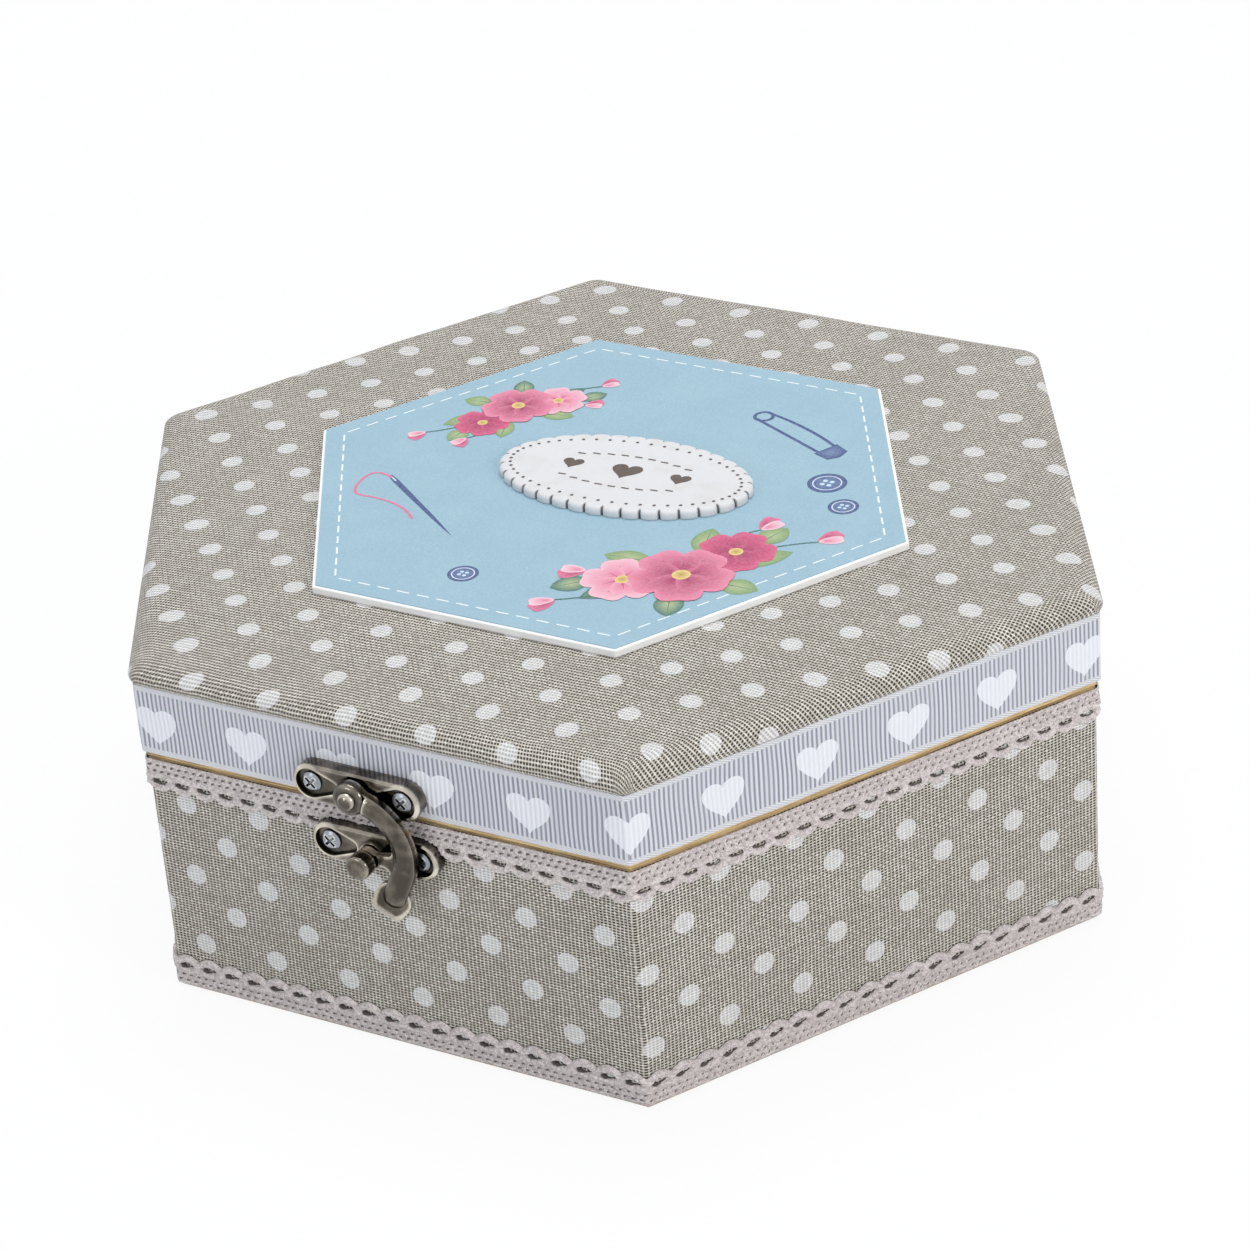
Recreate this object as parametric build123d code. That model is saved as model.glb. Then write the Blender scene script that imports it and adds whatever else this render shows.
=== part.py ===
from build123d import *
import os
from math import atan2, cos, degrees, hypot, pi, radians, sin, tan

# A hexagonal wooden sewing box: mitred boards covered with linen, a hinged and padded lid, and a swing hook.
# The origin is the middle of the underside, +Z is up and the latch faces -Y. All sizes are in millimetres.

# Wooden boards of the box
across_flats = 199.2
wall_thick = 6.0
base_thick = 3.0
box_height = 58.6
top_reveal = 0.8

# Cloth, lace and ribbon
cover_thick = 0.5
lining_thick = 0.6
lining_reveal = 0.8
lace_thick = 1.1
lace_width = 7.8
upper_scallop_pitch = 5.6
lower_scallop_pitch = 5.85
scallop_depth = 1.3
base_reveal = 0.9
ribbon_thick = 0.5

# Lid
lid_gap = 0.3
rim_height = 14.6
rim_thick = 6.0
lid_board_thick = 3.0
rim_reveal = 1.3
pad_thick = 4.2
pad_bulge = 1.2
pad_shoulder = 5.0
pad_crown = 1.5
crown_margin = 2.5

# Plaque and label on top of the lid
plaque_corner_radius = 73.3
plaque_thick = 1.8
print_thick = 0.2
print_margin = 0.7
label_half_length = 30.0
label_half_width = 17.1
label_thick = 2.0
label_turn = 3.0
label_shift_x = 3.3
label_shift_y = 3.0
label_scallops = 34
label_scallop_depth = 0.9

# Latch plates
plate_screw_spacing = 21.6
plate_height = 8.6
plate_thick = 3.2
plate_edge = 0.4
pocket_depth = 0.9
pocket_wall = 0.9
pocket_tail_radius = 1.5
pocket_tail_reach = 5.2
boss_radius = 3.0
boss_height = 0.6
latch_x = -3.1
latch_rise = 4.4
catch_shift = 2.3
catch_drop = 14.3

# Swing hook
hook_thick = 2.6
hook_crown = 1.0
eye_radius = 3.7
eye_round = 1.0
arm_width = 5.0
arm_radius = 11.6
arm_centre_drop = 12.0
arm_start_angle = 92.0
crown_start_angle = 73.0
arm_end_angle = -24.0
shank_length = 6.4
fork_wall = 0.95
beak_height = 2.6
inner_round = 1.5
tab_half_width = 4.1
tab_half_height = 3.9
tab_thick = 1.3
tab_curl_radius = 5.0
tab_curl_angle = 70.0
tab_overlap = 1.5
axial_play = 0.1

# Rivet and catch post
rivet_radius = 1.3
rivet_head_radius = 2.05
rivet_head_height = 1.3
tail_radius = 2.1
tail_height = 0.6
post_radius = 2.75
post_tail_radius = 1.5
neck_radius = 1.3
neck_gap = 0.3
neck_play = 0.5
cap_length = 3.2
cap_round = 0.7

# Screws
latch_screw_radius = 1.1
latch_screw_length = 7.0
latch_head_radius = 2.25
latch_head_height = 0.9
hinge_screw_radius = 0.9
hinge_screw_length = 5.5
hinge_head_radius = 1.9
recess_width = 0.6
recess_overhang = 1.3
recess_depth = 0.5
screw_clear = 0.05
running_clear = 0.05

# Hinges at the rear
hinge_spacing = 70.0
hinge_width = 24.0
leaf_height = 8.5
leaf_thick = 1.2
leaf_corner = 1.2
knuckle_radius = 2.0
knuckle_clear = 0.3
hinge_pin_radius = 0.9
pin_head_length = 0.6
pin_head_radius = 1.5
hinge_screw_spacing = 14.0
hinge_screw_drop = 5.3

# Places that follow from the sizes above
half_flat = across_flats / 2
inner_flat = half_flat - wall_thick
box_cover_flat = half_flat + cover_thick
trim_flat = box_cover_flat + lace_thick
trim_top = box_height - top_reveal
lid_cover_flat = trim_flat - ribbon_thick
lid_flat = lid_cover_flat - cover_thick
lid_bottom = box_height + lid_gap
ribbon_bottom = lid_bottom + rim_reveal
lid_board_bottom = lid_bottom + rim_height
pad_bottom = lid_board_bottom + lid_board_thick
pad_top = pad_bottom + pad_thick
lid_top = pad_top + cover_thick + pad_crown
plaque_flat = plaque_corner_radius * cos(radians(30))
plaque_top = lid_top + plaque_thick
print_top = plaque_top + print_thick
latch_z = ribbon_bottom + latch_rise
catch_x = latch_x + catch_shift
catch_z = latch_z - catch_drop
hook_back = trim_flat + plate_thick + boss_height + axial_play
hook_front = hook_back + hook_thick
beak_thick = hook_thick - hook_crown
hinge_z = box_height + lid_gap / 2
hinge_flat = trim_flat + knuckle_clear + knuckle_radius

SIDE_NAMES = ["rear_right", "rear", "rear_left", "front_left", "front", "front_right"]
SIDES = {name: 30 + 60 * step for step, name in enumerate(SIDE_NAMES)}
HINGES = {"left": hinge_spacing / 2, "right": -hinge_spacing / 2}


def corner(flat, angle):
    """The corner of a hexagon with this half width across flats, at this angle."""
    radius = flat / cos(radians(30))
    return (radius * cos(radians(angle)), radius * sin(radians(angle)))


def hexagon(flat, bottom, top):
    outline = RegularPolygon(flat / cos(radians(30)), 6)
    return extrude(Plane.XY.offset(bottom) * outline, top - bottom)


def hexagon_ring(inner, outer, bottom, top):
    return hexagon(outer, bottom, top) - hexagon(inner, bottom, top)


def side_plane(angle, flat):
    """A plane on one side of the hexagon, seen from outside: x to the right, y up, z outwards."""
    out = (cos(radians(angle)), sin(radians(angle)), 0)
    right = (-sin(radians(angle)), cos(radians(angle)), 0)
    return Plane(origin=(flat * out[0], flat * out[1], 0), x_dir=right, z_dir=out)


def mitred_board(angle, inner, outer, bottom, top):
    """One side of a hexagonal frame, with both ends cut on the line from corner to corner."""
    points = [corner(outer, angle - 30), corner(outer, angle + 30)]
    points += [corner(inner, angle + 30), corner(inner, angle - 30)]
    outline = make_face(Polyline(*points, close=True))
    return extrude(Plane.XY.offset(bottom) * outline, top - bottom)


def lace_side(angle, straight_z, scallops_point, wanted_pitch):
    """One side of a lace band. Its scallops point up (+1) or down (-1) from the band."""
    half_length = trim_flat * tan(radians(30))
    count = round(2 * half_length / wanted_pitch)
    pitch = 2 * half_length / count
    valley_z = straight_z + scallops_point * (lace_width - scallop_depth)
    tip_z = straight_z + scallops_point * lace_width
    edges = [Line((half_length, valley_z), (half_length, straight_z))]
    edges.append(Line((half_length, straight_z), (-half_length, straight_z)))
    edges.append(Line((-half_length, straight_z), (-half_length, valley_z)))
    for step in range(count):
        left = -half_length + step * pitch
        edges.append(ThreePointArc((left, valley_z), (left + pitch / 2, tip_z), (left + pitch, valley_z)))
    band = extrude(side_plane(angle, box_cover_flat) * make_face(edges), lace_thick)
    low = min(straight_z, tip_z)
    return band & mitred_board(angle, box_cover_flat, trim_flat, low, low + lace_width)


def lace_band(straight_z, scallops_point, pitch):
    sides = [lace_side(angle, straight_z, scallops_point, pitch) for angle in SIDES.values()]
    return sides[0].fuse(*sides[1:])


def pad_form(flat, height, shoulder):
    """A padded top on the lid: drawn in at its foot, bulging above it, rounded over, and crowned."""
    widest = flat + pad_bulge
    waist = height / 3
    levels = [(0, flat), (waist / 2, flat + 0.75 * pad_bulge), (waist, widest)]
    for step in range(1, 5):
        turn = radians(90 * step / 4)
        levels.append((waist + (height - waist) * sin(turn), widest - shoulder * (1 - cos(turn))))
    levels.append((height + pad_crown, plaque_flat + crown_margin))
    sections = []
    for level, reach in levels:
        sections.append(Plane.XY.offset(pad_bottom + level) * RegularPolygon(reach / cos(radians(30)), 6))
    return loft(sections, ruled=True)


def scalloped_oval():
    """The label's outline: even scallops along an ellipse."""
    samples = 720
    angles = [2 * pi * step / samples for step in range(samples + 1)]
    inner_length = label_half_length - label_scallop_depth
    inner_width = label_half_width - label_scallop_depth
    lengths = [0.0]
    for before, after in zip(angles, angles[1:]):
        run = inner_length * (cos(after) - cos(before))
        rise = inner_width * (sin(after) - sin(before))
        lengths.append(lengths[-1] + hypot(run, rise))
    marks = []
    for step in range(2 * label_scallops):
        target = lengths[-1] * step / (2 * label_scallops)
        marks.append(angles[min(range(samples), key=lambda index: abs(lengths[index] - target))])
    marks.append(marks[0])
    edges = []
    for index in range(0, 2 * label_scallops, 2):
        start, crest, end = marks[index:index + 3]
        low = (inner_length * cos(start), inner_width * sin(start))
        high = (label_half_length * cos(crest), label_half_width * sin(crest))
        low_again = (inner_length * cos(end), inner_width * sin(end))
        edges.append(ThreePointArc(low, high, low_again))
    return make_face(edges)


def plate_places(middle_x, middle_z):
    """Where a latch plate's two screws go."""
    half = plate_screw_spacing / 2
    return [(middle_x - half, middle_z), (middle_x + half, middle_z)]


def plate_outline(middle_x, middle_z, extra=0.0):
    slot = SlotCenterToCenter(plate_screw_spacing, plate_height + 2 * extra)
    return Pos(middle_x, middle_z) * slot


def pocket_outline(middle_x, middle_z, hand):
    """A teardrop sunk round one screw, with its point towards the middle of the plate."""
    screw_x = middle_x + hand * plate_screw_spacing / 2
    tail_x = screw_x - hand * pocket_tail_reach
    round_end = Pos(screw_x, middle_z) * Circle(plate_height / 2 - pocket_wall)
    tail = Pos(tail_x, middle_z) * Circle(pocket_tail_radius)
    return make_hull(round_end.edges() + tail.edges())


def latch_plate_body(flat, middle_x, middle_z, hole_radius):
    """A cast plate with sunk pockets for its screws and a riveted hole in the middle."""
    back = side_plane(270, flat)
    front = side_plane(270, flat + plate_thick)
    plate = extrude(back * plate_outline(middle_x, middle_z), plate_thick)
    rim = plate.faces().sort_by(Axis.Y)[0].edges()
    plate = chamfer(rim, plate_edge)
    for hand in (-1, 1):
        plate -= extrude(front * pocket_outline(middle_x, middle_z, hand), -pocket_depth)
    for x, z in plate_places(middle_x, middle_z):
        plate -= extrude(back * Pos(x, z) * Circle(latch_screw_radius + screw_clear), plate_thick)
    plate -= extrude(back * Pos(middle_x, middle_z) * Circle(hole_radius), plate_thick)
    plate -= extrude(back * Pos(middle_x, middle_z) * Circle(tail_radius), tail_height)
    return plate


def make_latch_plate():
    plate = latch_plate_body(trim_flat, latch_x, latch_z, rivet_radius)
    ring = Circle(boss_radius) - Circle(rivet_radius)
    boss = extrude(side_plane(270, trim_flat + plate_thick) * Pos(latch_x, latch_z) * ring, boss_height)
    return plate + boss


def turned(x, z, outline):
    """A turned piece on the front of the box. The outline is (radius, distance from the box's middle)."""
    points = [(radius, flat) for radius, flat in outline]
    profile = make_face(Polyline(*points, close=True))
    spun = revolve(Plane.XZ * profile, Axis.Z)
    return Plane(origin=(x, 0, z), x_dir=(1, 0, 0), z_dir=(0, -1, 0)) * spun


def make_rivet():
    head_back = hook_front + axial_play
    tail_top = trim_flat + tail_height
    outline = [(0, trim_flat), (tail_radius, trim_flat), (tail_radius, tail_top), (rivet_radius, tail_top)]
    outline += [(rivet_radius, head_back), (rivet_head_radius, head_back)]
    for step in range(1, 6):
        turn = radians(18 * step)
        outline.append((rivet_head_radius * cos(turn), head_back + rivet_head_height * sin(turn)))
    return turned(latch_x, latch_z, outline)


def make_catch_post():
    """The post behind whose cap the hook's beak slides."""
    tail_top = box_cover_flat + tail_height
    plate_front = box_cover_flat + plate_thick
    neck_back = hook_back - neck_play
    neck_front = hook_back + beak_thick + neck_play
    cap_front = neck_front + cap_length
    outline = [(0, box_cover_flat), (tail_radius, box_cover_flat), (tail_radius, tail_top)]
    outline += [(post_tail_radius, tail_top), (post_tail_radius, plate_front), (post_radius, plate_front)]
    outline += [(post_radius, neck_back), (neck_radius, neck_back), (neck_radius, neck_front)]
    outline += [(post_radius, neck_front)]
    for step in range(4):
        turn = radians(30 * step)
        edge = post_radius - cap_round + cap_round * cos(turn)
        outline.append((edge, cap_front - cap_round + cap_round * sin(turn)))
    outline.append((0, cap_front))
    return turned(catch_x, catch_z, outline)


def curved_strip(centre, radius, width, start, end):
    """A flat strip that follows an arc, between two angles."""
    outer = CenterArc(centre, radius + width / 2, start, end - start)
    inner = CenterArc(centre, radius - width / 2, start, end - start)
    return make_face([outer, inner, Line(outer @ 0, inner @ 0), Line(outer @ 1, inner @ 1)])


def arm_end():
    """Where the hook's curved arm ends and its straight shank begins, from the pivot."""
    turn = radians(arm_end_angle)
    return Vector(arm_radius * cos(turn), arm_radius * sin(turn) - arm_centre_drop, 0)


def shank_direction():
    turn = radians(arm_end_angle)
    return Vector(sin(turn), -cos(turn), 0)


def hook_profile():
    """The hook's flat shape, drawn about its pivot: eye, curved arm, shank and a forked beak."""
    arm_centre = (0, -arm_centre_drop)
    shape = Circle(eye_radius)
    shape += curved_strip(arm_centre, arm_radius, arm_width, arm_start_angle, arm_end_angle)
    shank_middle = arm_end() + shank_direction() * (shank_length / 2)
    shape += Pos(shank_middle) * Rot(0, 0, arm_end_angle) * Rectangle(arm_width, shank_length)
    slot_half = neck_radius + neck_gap
    beak = Pos(catch_shift, -catch_drop) * Rot(0, 0, degrees(atan2(catch_shift, catch_drop)))
    shape += beak * Circle(slot_half + fork_wall)
    shape += beak * Pos(arm_width, 0) * Rectangle(2 * arm_width, beak_height)
    shape = offset(offset(shape, inner_round), -inner_round)
    shape -= beak * Circle(slot_half)
    mouth = 2 * (slot_half + fork_wall)
    shape -= beak * Pos(-mouth / 2, 0) * Rectangle(mouth, 2 * slot_half)
    return shape


def arm_section():
    """The crowned front of the arm, drawn across it: flat where it sits on the beak's thickness."""
    half = arm_width / 2
    crown = ThreePointArc((-half, beak_thick), (0, hook_thick), (half, beak_thick))
    base = Polyline((half, beak_thick), (half, beak_thick / 2), (-half, beak_thick / 2), (-half, beak_thick))
    return make_face([crown] + base.edges())


def arm_nose():
    """The rounded end of the crowned arm, drawn about its own axis."""
    half = arm_width / 2
    room = Rectangle(half, 2 * hook_thick, align=(Align.MIN, Align.CENTER))
    return revolve(Plane.XZ * (arm_section() & room), Axis.Z)


def crowned_arm():
    """The half-round front of the arm and shank."""
    across = Vector(cos(radians(arm_end_angle)), sin(radians(arm_end_angle)), 0)
    place = Plane(origin=arm_end(), x_dir=across, z_dir=shank_direction())
    section = place * arm_section()
    axis = Axis((0, -arm_centre_drop, 0), (0, 0, 1))
    arm = revolve(section, axis, crown_start_angle - arm_end_angle)
    foot = arm_end() + shank_direction() * shank_length
    return arm + extrude(section, shank_length) + Pos(foot) * arm_nose()


def thumb_tab():
    """A rounded lip that curls out from the box at the end of the shank."""
    along = shank_direction()
    across = Vector(cos(radians(arm_end_angle)), sin(radians(arm_end_angle)), 0)
    foot = arm_end() + along * shank_length
    profile = Plane(origin=foot, x_dir=along, z_dir=along.cross(Vector(0, 0, 1)))
    middle_radius = tab_curl_radius - tab_thick / 2
    curl = curved_strip((-tab_overlap, tab_curl_radius), middle_radius, tab_thick, -90, tab_curl_angle - 90)
    flat = Rectangle(tab_half_height, tab_thick, align=(Align.MAX, Align.MIN))
    curl += Pos(-tab_overlap, 0) * flat
    lip = extrude(profile * curl, tab_half_width, both=True)
    plan = Plane(origin=foot, x_dir=across, z_dir=(0, 0, 1)) * Ellipse(tab_half_width, tab_half_height)
    return lip & extrude(plan, tab_curl_radius, both=True)


def make_hook():
    """The swing hook: a flat eye and beak, a crowned arm and a curled thumb tab."""
    eye = fillet(extrude(Circle(eye_radius), hook_thick).faces().sort_by(Axis.Z)[-1].edges(), eye_round)
    body = extrude(hook_profile(), beak_thick) + crowned_arm() + eye + thumb_tab()
    body -= extrude(Circle(rivet_radius + running_clear), hook_thick)
    return side_plane(270, hook_back) * Pos(latch_x, latch_z) * body


def screw(place, radius, length, head):
    """A cross-recessed screw. Its head is a turned outline above the place, its shank goes below it."""
    outline = [(0, -length), (radius * 0.3, -length), (radius, -length + 1.5 * radius), (radius, 0)] + head
    body = revolve(Plane.XZ * make_face(Polyline(*outline, close=True)), Axis.Z)
    top = max(height for _, height in head)
    for turn in (45, 135):
        arm = Box(recess_overhang * head[0][0], recess_width, 2 * recess_depth)
        body -= Pos(0, 0, top) * Rot(0, 0, turn) * arm
    return place * body


def latch_screws_at(flat, middle_x, middle_z):
    floor = flat + plate_thick - pocket_depth
    low = latch_head_height * 0.45
    crown = latch_head_radius * 0.7
    head = [(latch_head_radius, 0), (latch_head_radius, low), (crown, latch_head_height), (0, latch_head_height)]
    places = plate_places(middle_x, middle_z)
    return [screw(side_plane(270, floor) * Pos(x, z), latch_screw_radius, latch_screw_length, head)
            for x, z in places]


def screw_holes(plane, places, radius, length):
    """Pilot holes that take the screws' shanks."""
    return [extrude(plane * Pos(x, z) * Circle(radius + screw_clear), -length - screw_clear) for x, z in places]


def latch_holes(flat, middle_x, middle_z):
    floor = side_plane(270, flat + plate_thick - pocket_depth)
    return screw_holes(floor, plate_places(middle_x, middle_z), latch_screw_radius, latch_screw_length)


def hinge_places(middle_x, z):
    half = hinge_screw_spacing / 2
    return [(middle_x - half, z), (middle_x + half, z)]


def hinge_holes(z):
    """Pilot holes of both hinges, at one height."""
    under_head = side_plane(90, trim_flat + leaf_thick - screw_seat())
    holes = []
    for middle_x in HINGES.values():
        places = hinge_places(middle_x, z)
        holes += screw_holes(under_head, places, hinge_screw_radius, hinge_screw_length)
    return holes


def screw_seat():
    """Depth of the countersink in a hinge leaf, at 45 degrees."""
    return hinge_head_radius - hinge_screw_radius


def hinge_screws_at(z):
    head = [(hinge_head_radius, screw_seat()), (0, screw_seat())]
    plane = side_plane(90, trim_flat + leaf_thick - screw_seat())
    screws = []
    for middle_x in HINGES.values():
        for x, height in hinge_places(middle_x, z):
            screws.append(screw(plane * Pos(x, height), hinge_screw_radius, hinge_screw_length, head))
    return screws


def hinge_leaf(middle_x, up):
    """One leaf. The lid's leaf (up) has the middle knuckle and the box's leaf (down) the outer two."""
    hand = 1 if up else -1
    near = knuckle_radius + knuckle_clear
    middle_height = hinge_z + hand * (near + leaf_height) / 2
    seat = side_plane(90, trim_flat)
    outline = Pos(middle_x, middle_height) * RectangleRounded(hinge_width, leaf_height - near, leaf_corner)
    leaf = extrude(seat * outline, leaf_thick)
    knuckle_length = hinge_width / 3
    starts = [0] if up else [-knuckle_length, knuckle_length]
    for start in starts:
        width = knuckle_length - knuckle_clear
        axle = Plane(origin=(0, hinge_flat, hinge_z), x_dir=(0, 0, 1), z_dir=(1, 0, 0))
        place = axle * Pos(0, 0, -middle_x + start - width / 2)
        neck_height = near + leaf_corner
        neck = Pos(middle_x - start, hinge_z + hand * neck_height / 2) * Rectangle(width, neck_height)
        leaf += extrude(seat * neck, leaf_thick)
        leaf += extrude(place * Circle(knuckle_radius), width)
    bore = Plane(origin=(-middle_x - hinge_width, hinge_flat, hinge_z), z_dir=(1, 0, 0))
    leaf -= extrude(bore * Circle(hinge_pin_radius + running_clear), 2 * hinge_width)
    for x, z in hinge_places(middle_x, hinge_z + hand * hinge_screw_drop):
        hole = seat * Pos(x, z) * Circle(hinge_screw_radius + screw_clear)
        leaf -= extrude(hole, leaf_thick)
        cone_height = screw_seat()
        under = side_plane(90, trim_flat + leaf_thick - cone_height / 2) * Pos(x, z)
        leaf -= under * Cone(hinge_screw_radius, hinge_head_radius, cone_height)
    return leaf


def hinge_pin(middle_x):
    """A pin through the three knuckles, with a small head at each end."""
    axle = Plane(origin=(-middle_x, hinge_flat, hinge_z), z_dir=(1, 0, 0))
    half = hinge_width / 2 - knuckle_clear / 2
    pin = extrude(axle * Circle(hinge_pin_radius), half, both=True)
    for hand in (-1, 1):
        place = Plane(origin=(-middle_x + hand * half, hinge_flat, hinge_z), z_dir=(hand, 0, 0))
        head = extrude(place * Circle(pin_head_radius), pin_head_length)
        pin += chamfer(head.faces().sort_by(Axis.X)[-1 if hand > 0 else 0].edges(), pin_head_length / 2)
    return pin


def make_boards(prefix, inner, outer, bottom, top, drilled):
    """Six mitred boards, with pilot holes in the front and rear ones."""
    boards = {}
    for name, angle in SIDES.items():
        board = mitred_board(angle, inner, outer, bottom, top)
        if name in drilled:
            board -= drilled[name]
        boards[prefix + "_" + name] = board
    return boards


def make_box():
    """Everything that stays with the lower part."""
    catch_holes = latch_holes(box_cover_flat, catch_x, catch_z)
    rear_holes = hinge_holes(hinge_z - hinge_screw_drop)
    holes = catch_holes + rear_holes
    parts = {"base_board": hexagon(half_flat, 0, base_thick)}
    drilled = {"front": catch_holes, "rear": rear_holes}
    parts.update(make_boards("wall", inner_flat, half_flat, base_thick, box_height, drilled))
    parts["box_cover"] = hexagon_ring(half_flat, box_cover_flat, base_reveal, trim_top) - holes
    plate_room = plate_outline(catch_x, catch_z, knuckle_clear)
    notch = extrude(side_plane(270, box_cover_flat) * plate_room, lace_thick)
    parts["upper_lace"] = lace_band(trim_top, -1, upper_scallop_pitch) - notch - rear_holes
    parts["lower_lace"] = lace_band(base_reveal, 1, lower_scallop_pitch)
    lining_top = box_height - lining_reveal
    floor_top = base_thick + lining_thick
    parts["base_lining"] = hexagon(inner_flat, base_thick, floor_top)
    parts["wall_lining"] = hexagon_ring(inner_flat - lining_thick, inner_flat, floor_top, lining_top)
    parts["catch_plate"] = latch_plate_body(box_cover_flat, catch_x, catch_z, post_tail_radius)
    parts["catch_post"] = make_catch_post()
    parts["catch_screws"] = Compound(latch_screws_at(box_cover_flat, catch_x, catch_z))
    for name, middle_x in HINGES.items():
        parts["hinge_box_leaf_" + name] = hinge_leaf(middle_x, False)
        parts["hinge_pin_" + name] = hinge_pin(middle_x)
    parts["hinge_box_screws"] = Compound(hinge_screws_at(hinge_z - hinge_screw_drop))
    return parts


def make_lid():
    """Everything that lifts with the lid, except the swing hook."""
    front_holes = latch_holes(trim_flat, latch_x, latch_z)
    rear_holes = hinge_holes(hinge_z + hinge_screw_drop)
    holes = front_holes + rear_holes
    rim_inner = lid_flat - rim_thick
    drilled = {"front": front_holes, "rear": rear_holes}
    parts = make_boards("rim", rim_inner, lid_flat, lid_bottom, lid_board_bottom, drilled)
    parts["lid_board"] = hexagon(lid_flat, lid_board_bottom, pad_bottom)
    pad = pad_form(lid_flat, pad_thick, pad_shoulder)
    parts["foam_pad"] = pad
    skirt = hexagon_ring(lid_flat, lid_cover_flat, ribbon_bottom, pad_bottom)
    crown = pad_form(lid_cover_flat, pad_thick + cover_thick, pad_shoulder) - pad
    parts["lid_cover"] = skirt + crown - holes
    parts["heart_ribbon"] = hexagon_ring(lid_cover_flat, trim_flat, ribbon_bottom, pad_bottom) - holes
    ceiling = lid_board_bottom - lining_thick
    parts["lid_lining"] = hexagon(rim_inner, ceiling, lid_board_bottom)
    rim_lining_bottom = lid_bottom + lining_reveal
    parts["rim_lining"] = hexagon_ring(rim_inner - lining_thick, rim_inner, rim_lining_bottom, ceiling)
    parts["plaque_board"] = hexagon(plaque_flat, lid_top, plaque_top)
    parts["plaque_print"] = hexagon(plaque_flat - print_margin, plaque_top, print_top)
    label_place = Pos(label_shift_x, label_shift_y, print_top) * Rot(0, 0, label_turn)
    parts["oval_label"] = extrude(label_place * scalloped_oval(), label_thick)
    parts["latch_plate"] = make_latch_plate()
    parts["latch_rivet"] = make_rivet()
    parts["latch_screws"] = Compound(latch_screws_at(trim_flat, latch_x, latch_z))
    for name, middle_x in HINGES.items():
        parts["hinge_lid_leaf_" + name] = hinge_leaf(middle_x, True)
    parts["hinge_lid_screws"] = Compound(hinge_screws_at(hinge_z + hinge_screw_drop))
    return parts


def main():
    parts = make_box()
    parts.update(make_lid())
    parts["latch_hook"] = make_hook()
    os.makedirs("parts", exist_ok=True)
    for name, shape in parts.items():
        export_step(shape, "parts/" + name + ".step")
    print(len(parts), "nodes written")


main()
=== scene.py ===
# %% [markdown]
# # A hexagonal sewing box
# The box is made of thin boards covered with dotted linen. A ribbon with hearts runs round the lid, two bands
# of crochet lace run round the box, and a painted plaque sits on the padded lid. The wood, the latch and the
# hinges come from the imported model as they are, and get materials. Cloth, lace, ribbon and print are modelled
# here, because threads and folds are finer than the model's solids.

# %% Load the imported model
from math import ceil, cos, hypot, pi, radians, sin, sqrt, tan

import bpy
import numpy as np
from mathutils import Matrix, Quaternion, Vector


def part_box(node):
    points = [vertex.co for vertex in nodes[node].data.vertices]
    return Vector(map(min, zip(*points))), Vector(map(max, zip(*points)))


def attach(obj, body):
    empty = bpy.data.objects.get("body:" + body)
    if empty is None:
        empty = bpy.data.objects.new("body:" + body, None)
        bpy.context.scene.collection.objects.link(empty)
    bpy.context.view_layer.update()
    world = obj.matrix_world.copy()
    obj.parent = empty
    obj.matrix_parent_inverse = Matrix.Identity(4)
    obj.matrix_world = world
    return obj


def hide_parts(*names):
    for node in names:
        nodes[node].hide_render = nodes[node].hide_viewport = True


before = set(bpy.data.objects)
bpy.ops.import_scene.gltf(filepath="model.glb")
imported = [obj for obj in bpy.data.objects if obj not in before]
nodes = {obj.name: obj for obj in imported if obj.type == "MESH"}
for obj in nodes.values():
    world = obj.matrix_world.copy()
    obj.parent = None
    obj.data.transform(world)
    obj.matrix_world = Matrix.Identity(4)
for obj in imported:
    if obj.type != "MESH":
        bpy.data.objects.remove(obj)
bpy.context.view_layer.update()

MM = 0.001
print(len(nodes), "nodes from the packed model")


def levels_of(node):
    """Where a node begins and ends in z, in millimetres."""
    return [corner.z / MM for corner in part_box(node)]


def half_flat_of(node):
    """Half the width across flats of a node with six sides, in millimetres."""
    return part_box(node)[1].y / MM


# %% [markdown]
# ## The camera
# A long lens from above the right front corner keeps the sides nearly parallel, as in a catalogue picture.
# The place, the lens and the small roll come from lining up the corners of the box.

# %% Make the camera
camera = bpy.data.objects.new("camera", bpy.data.cameras.new("camera"))
bpy.context.scene.collection.objects.link(camera)
camera.location = Vector((410.79, -692.42, 507.83)) * MM
camera_target = Vector((-0.39, 4.08, 46.51)) * MM
aim = (camera_target - camera.location).to_track_quat("-Z", "Y")
camera.rotation_mode = "QUATERNION"
camera.rotation_quaternion = aim @ Quaternion((0, 0, 1), radians(-4.5))
camera.data.sensor_width = 36
camera.data.lens = 119.23
camera.data.clip_start = 0.01
bpy.context.scene.camera = camera
print("camera", round((camera_target - camera.location).length, 3), "m away")

# %% [markdown]
# ## Writing shaders as formulas
# A weave or a print is a formula over the cloth. Placing every Math node by hand hides the formula, so a
# small class lets numbers in a shader be added and multiplied as on paper, and adds the nodes behind them.


# %% Numbers and colours in a shader
def plug(tree, slot, value):
    """Link a socket or a shader number to a slot, or set the slot's own value."""
    if isinstance(value, Number):
        tree.links.new(value.socket, slot)
    elif isinstance(value, bpy.types.NodeSocket):
        tree.links.new(value, slot)
    elif isinstance(value, tuple) and len(value) == 3 and slot.type == "RGBA":
        slot.default_value = (*value, 1)
    else:
        slot.default_value = value


def plug_all(tree, slots, values):
    for slot, value in zip(slots, values):
        plug(tree, slot, value)


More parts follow.
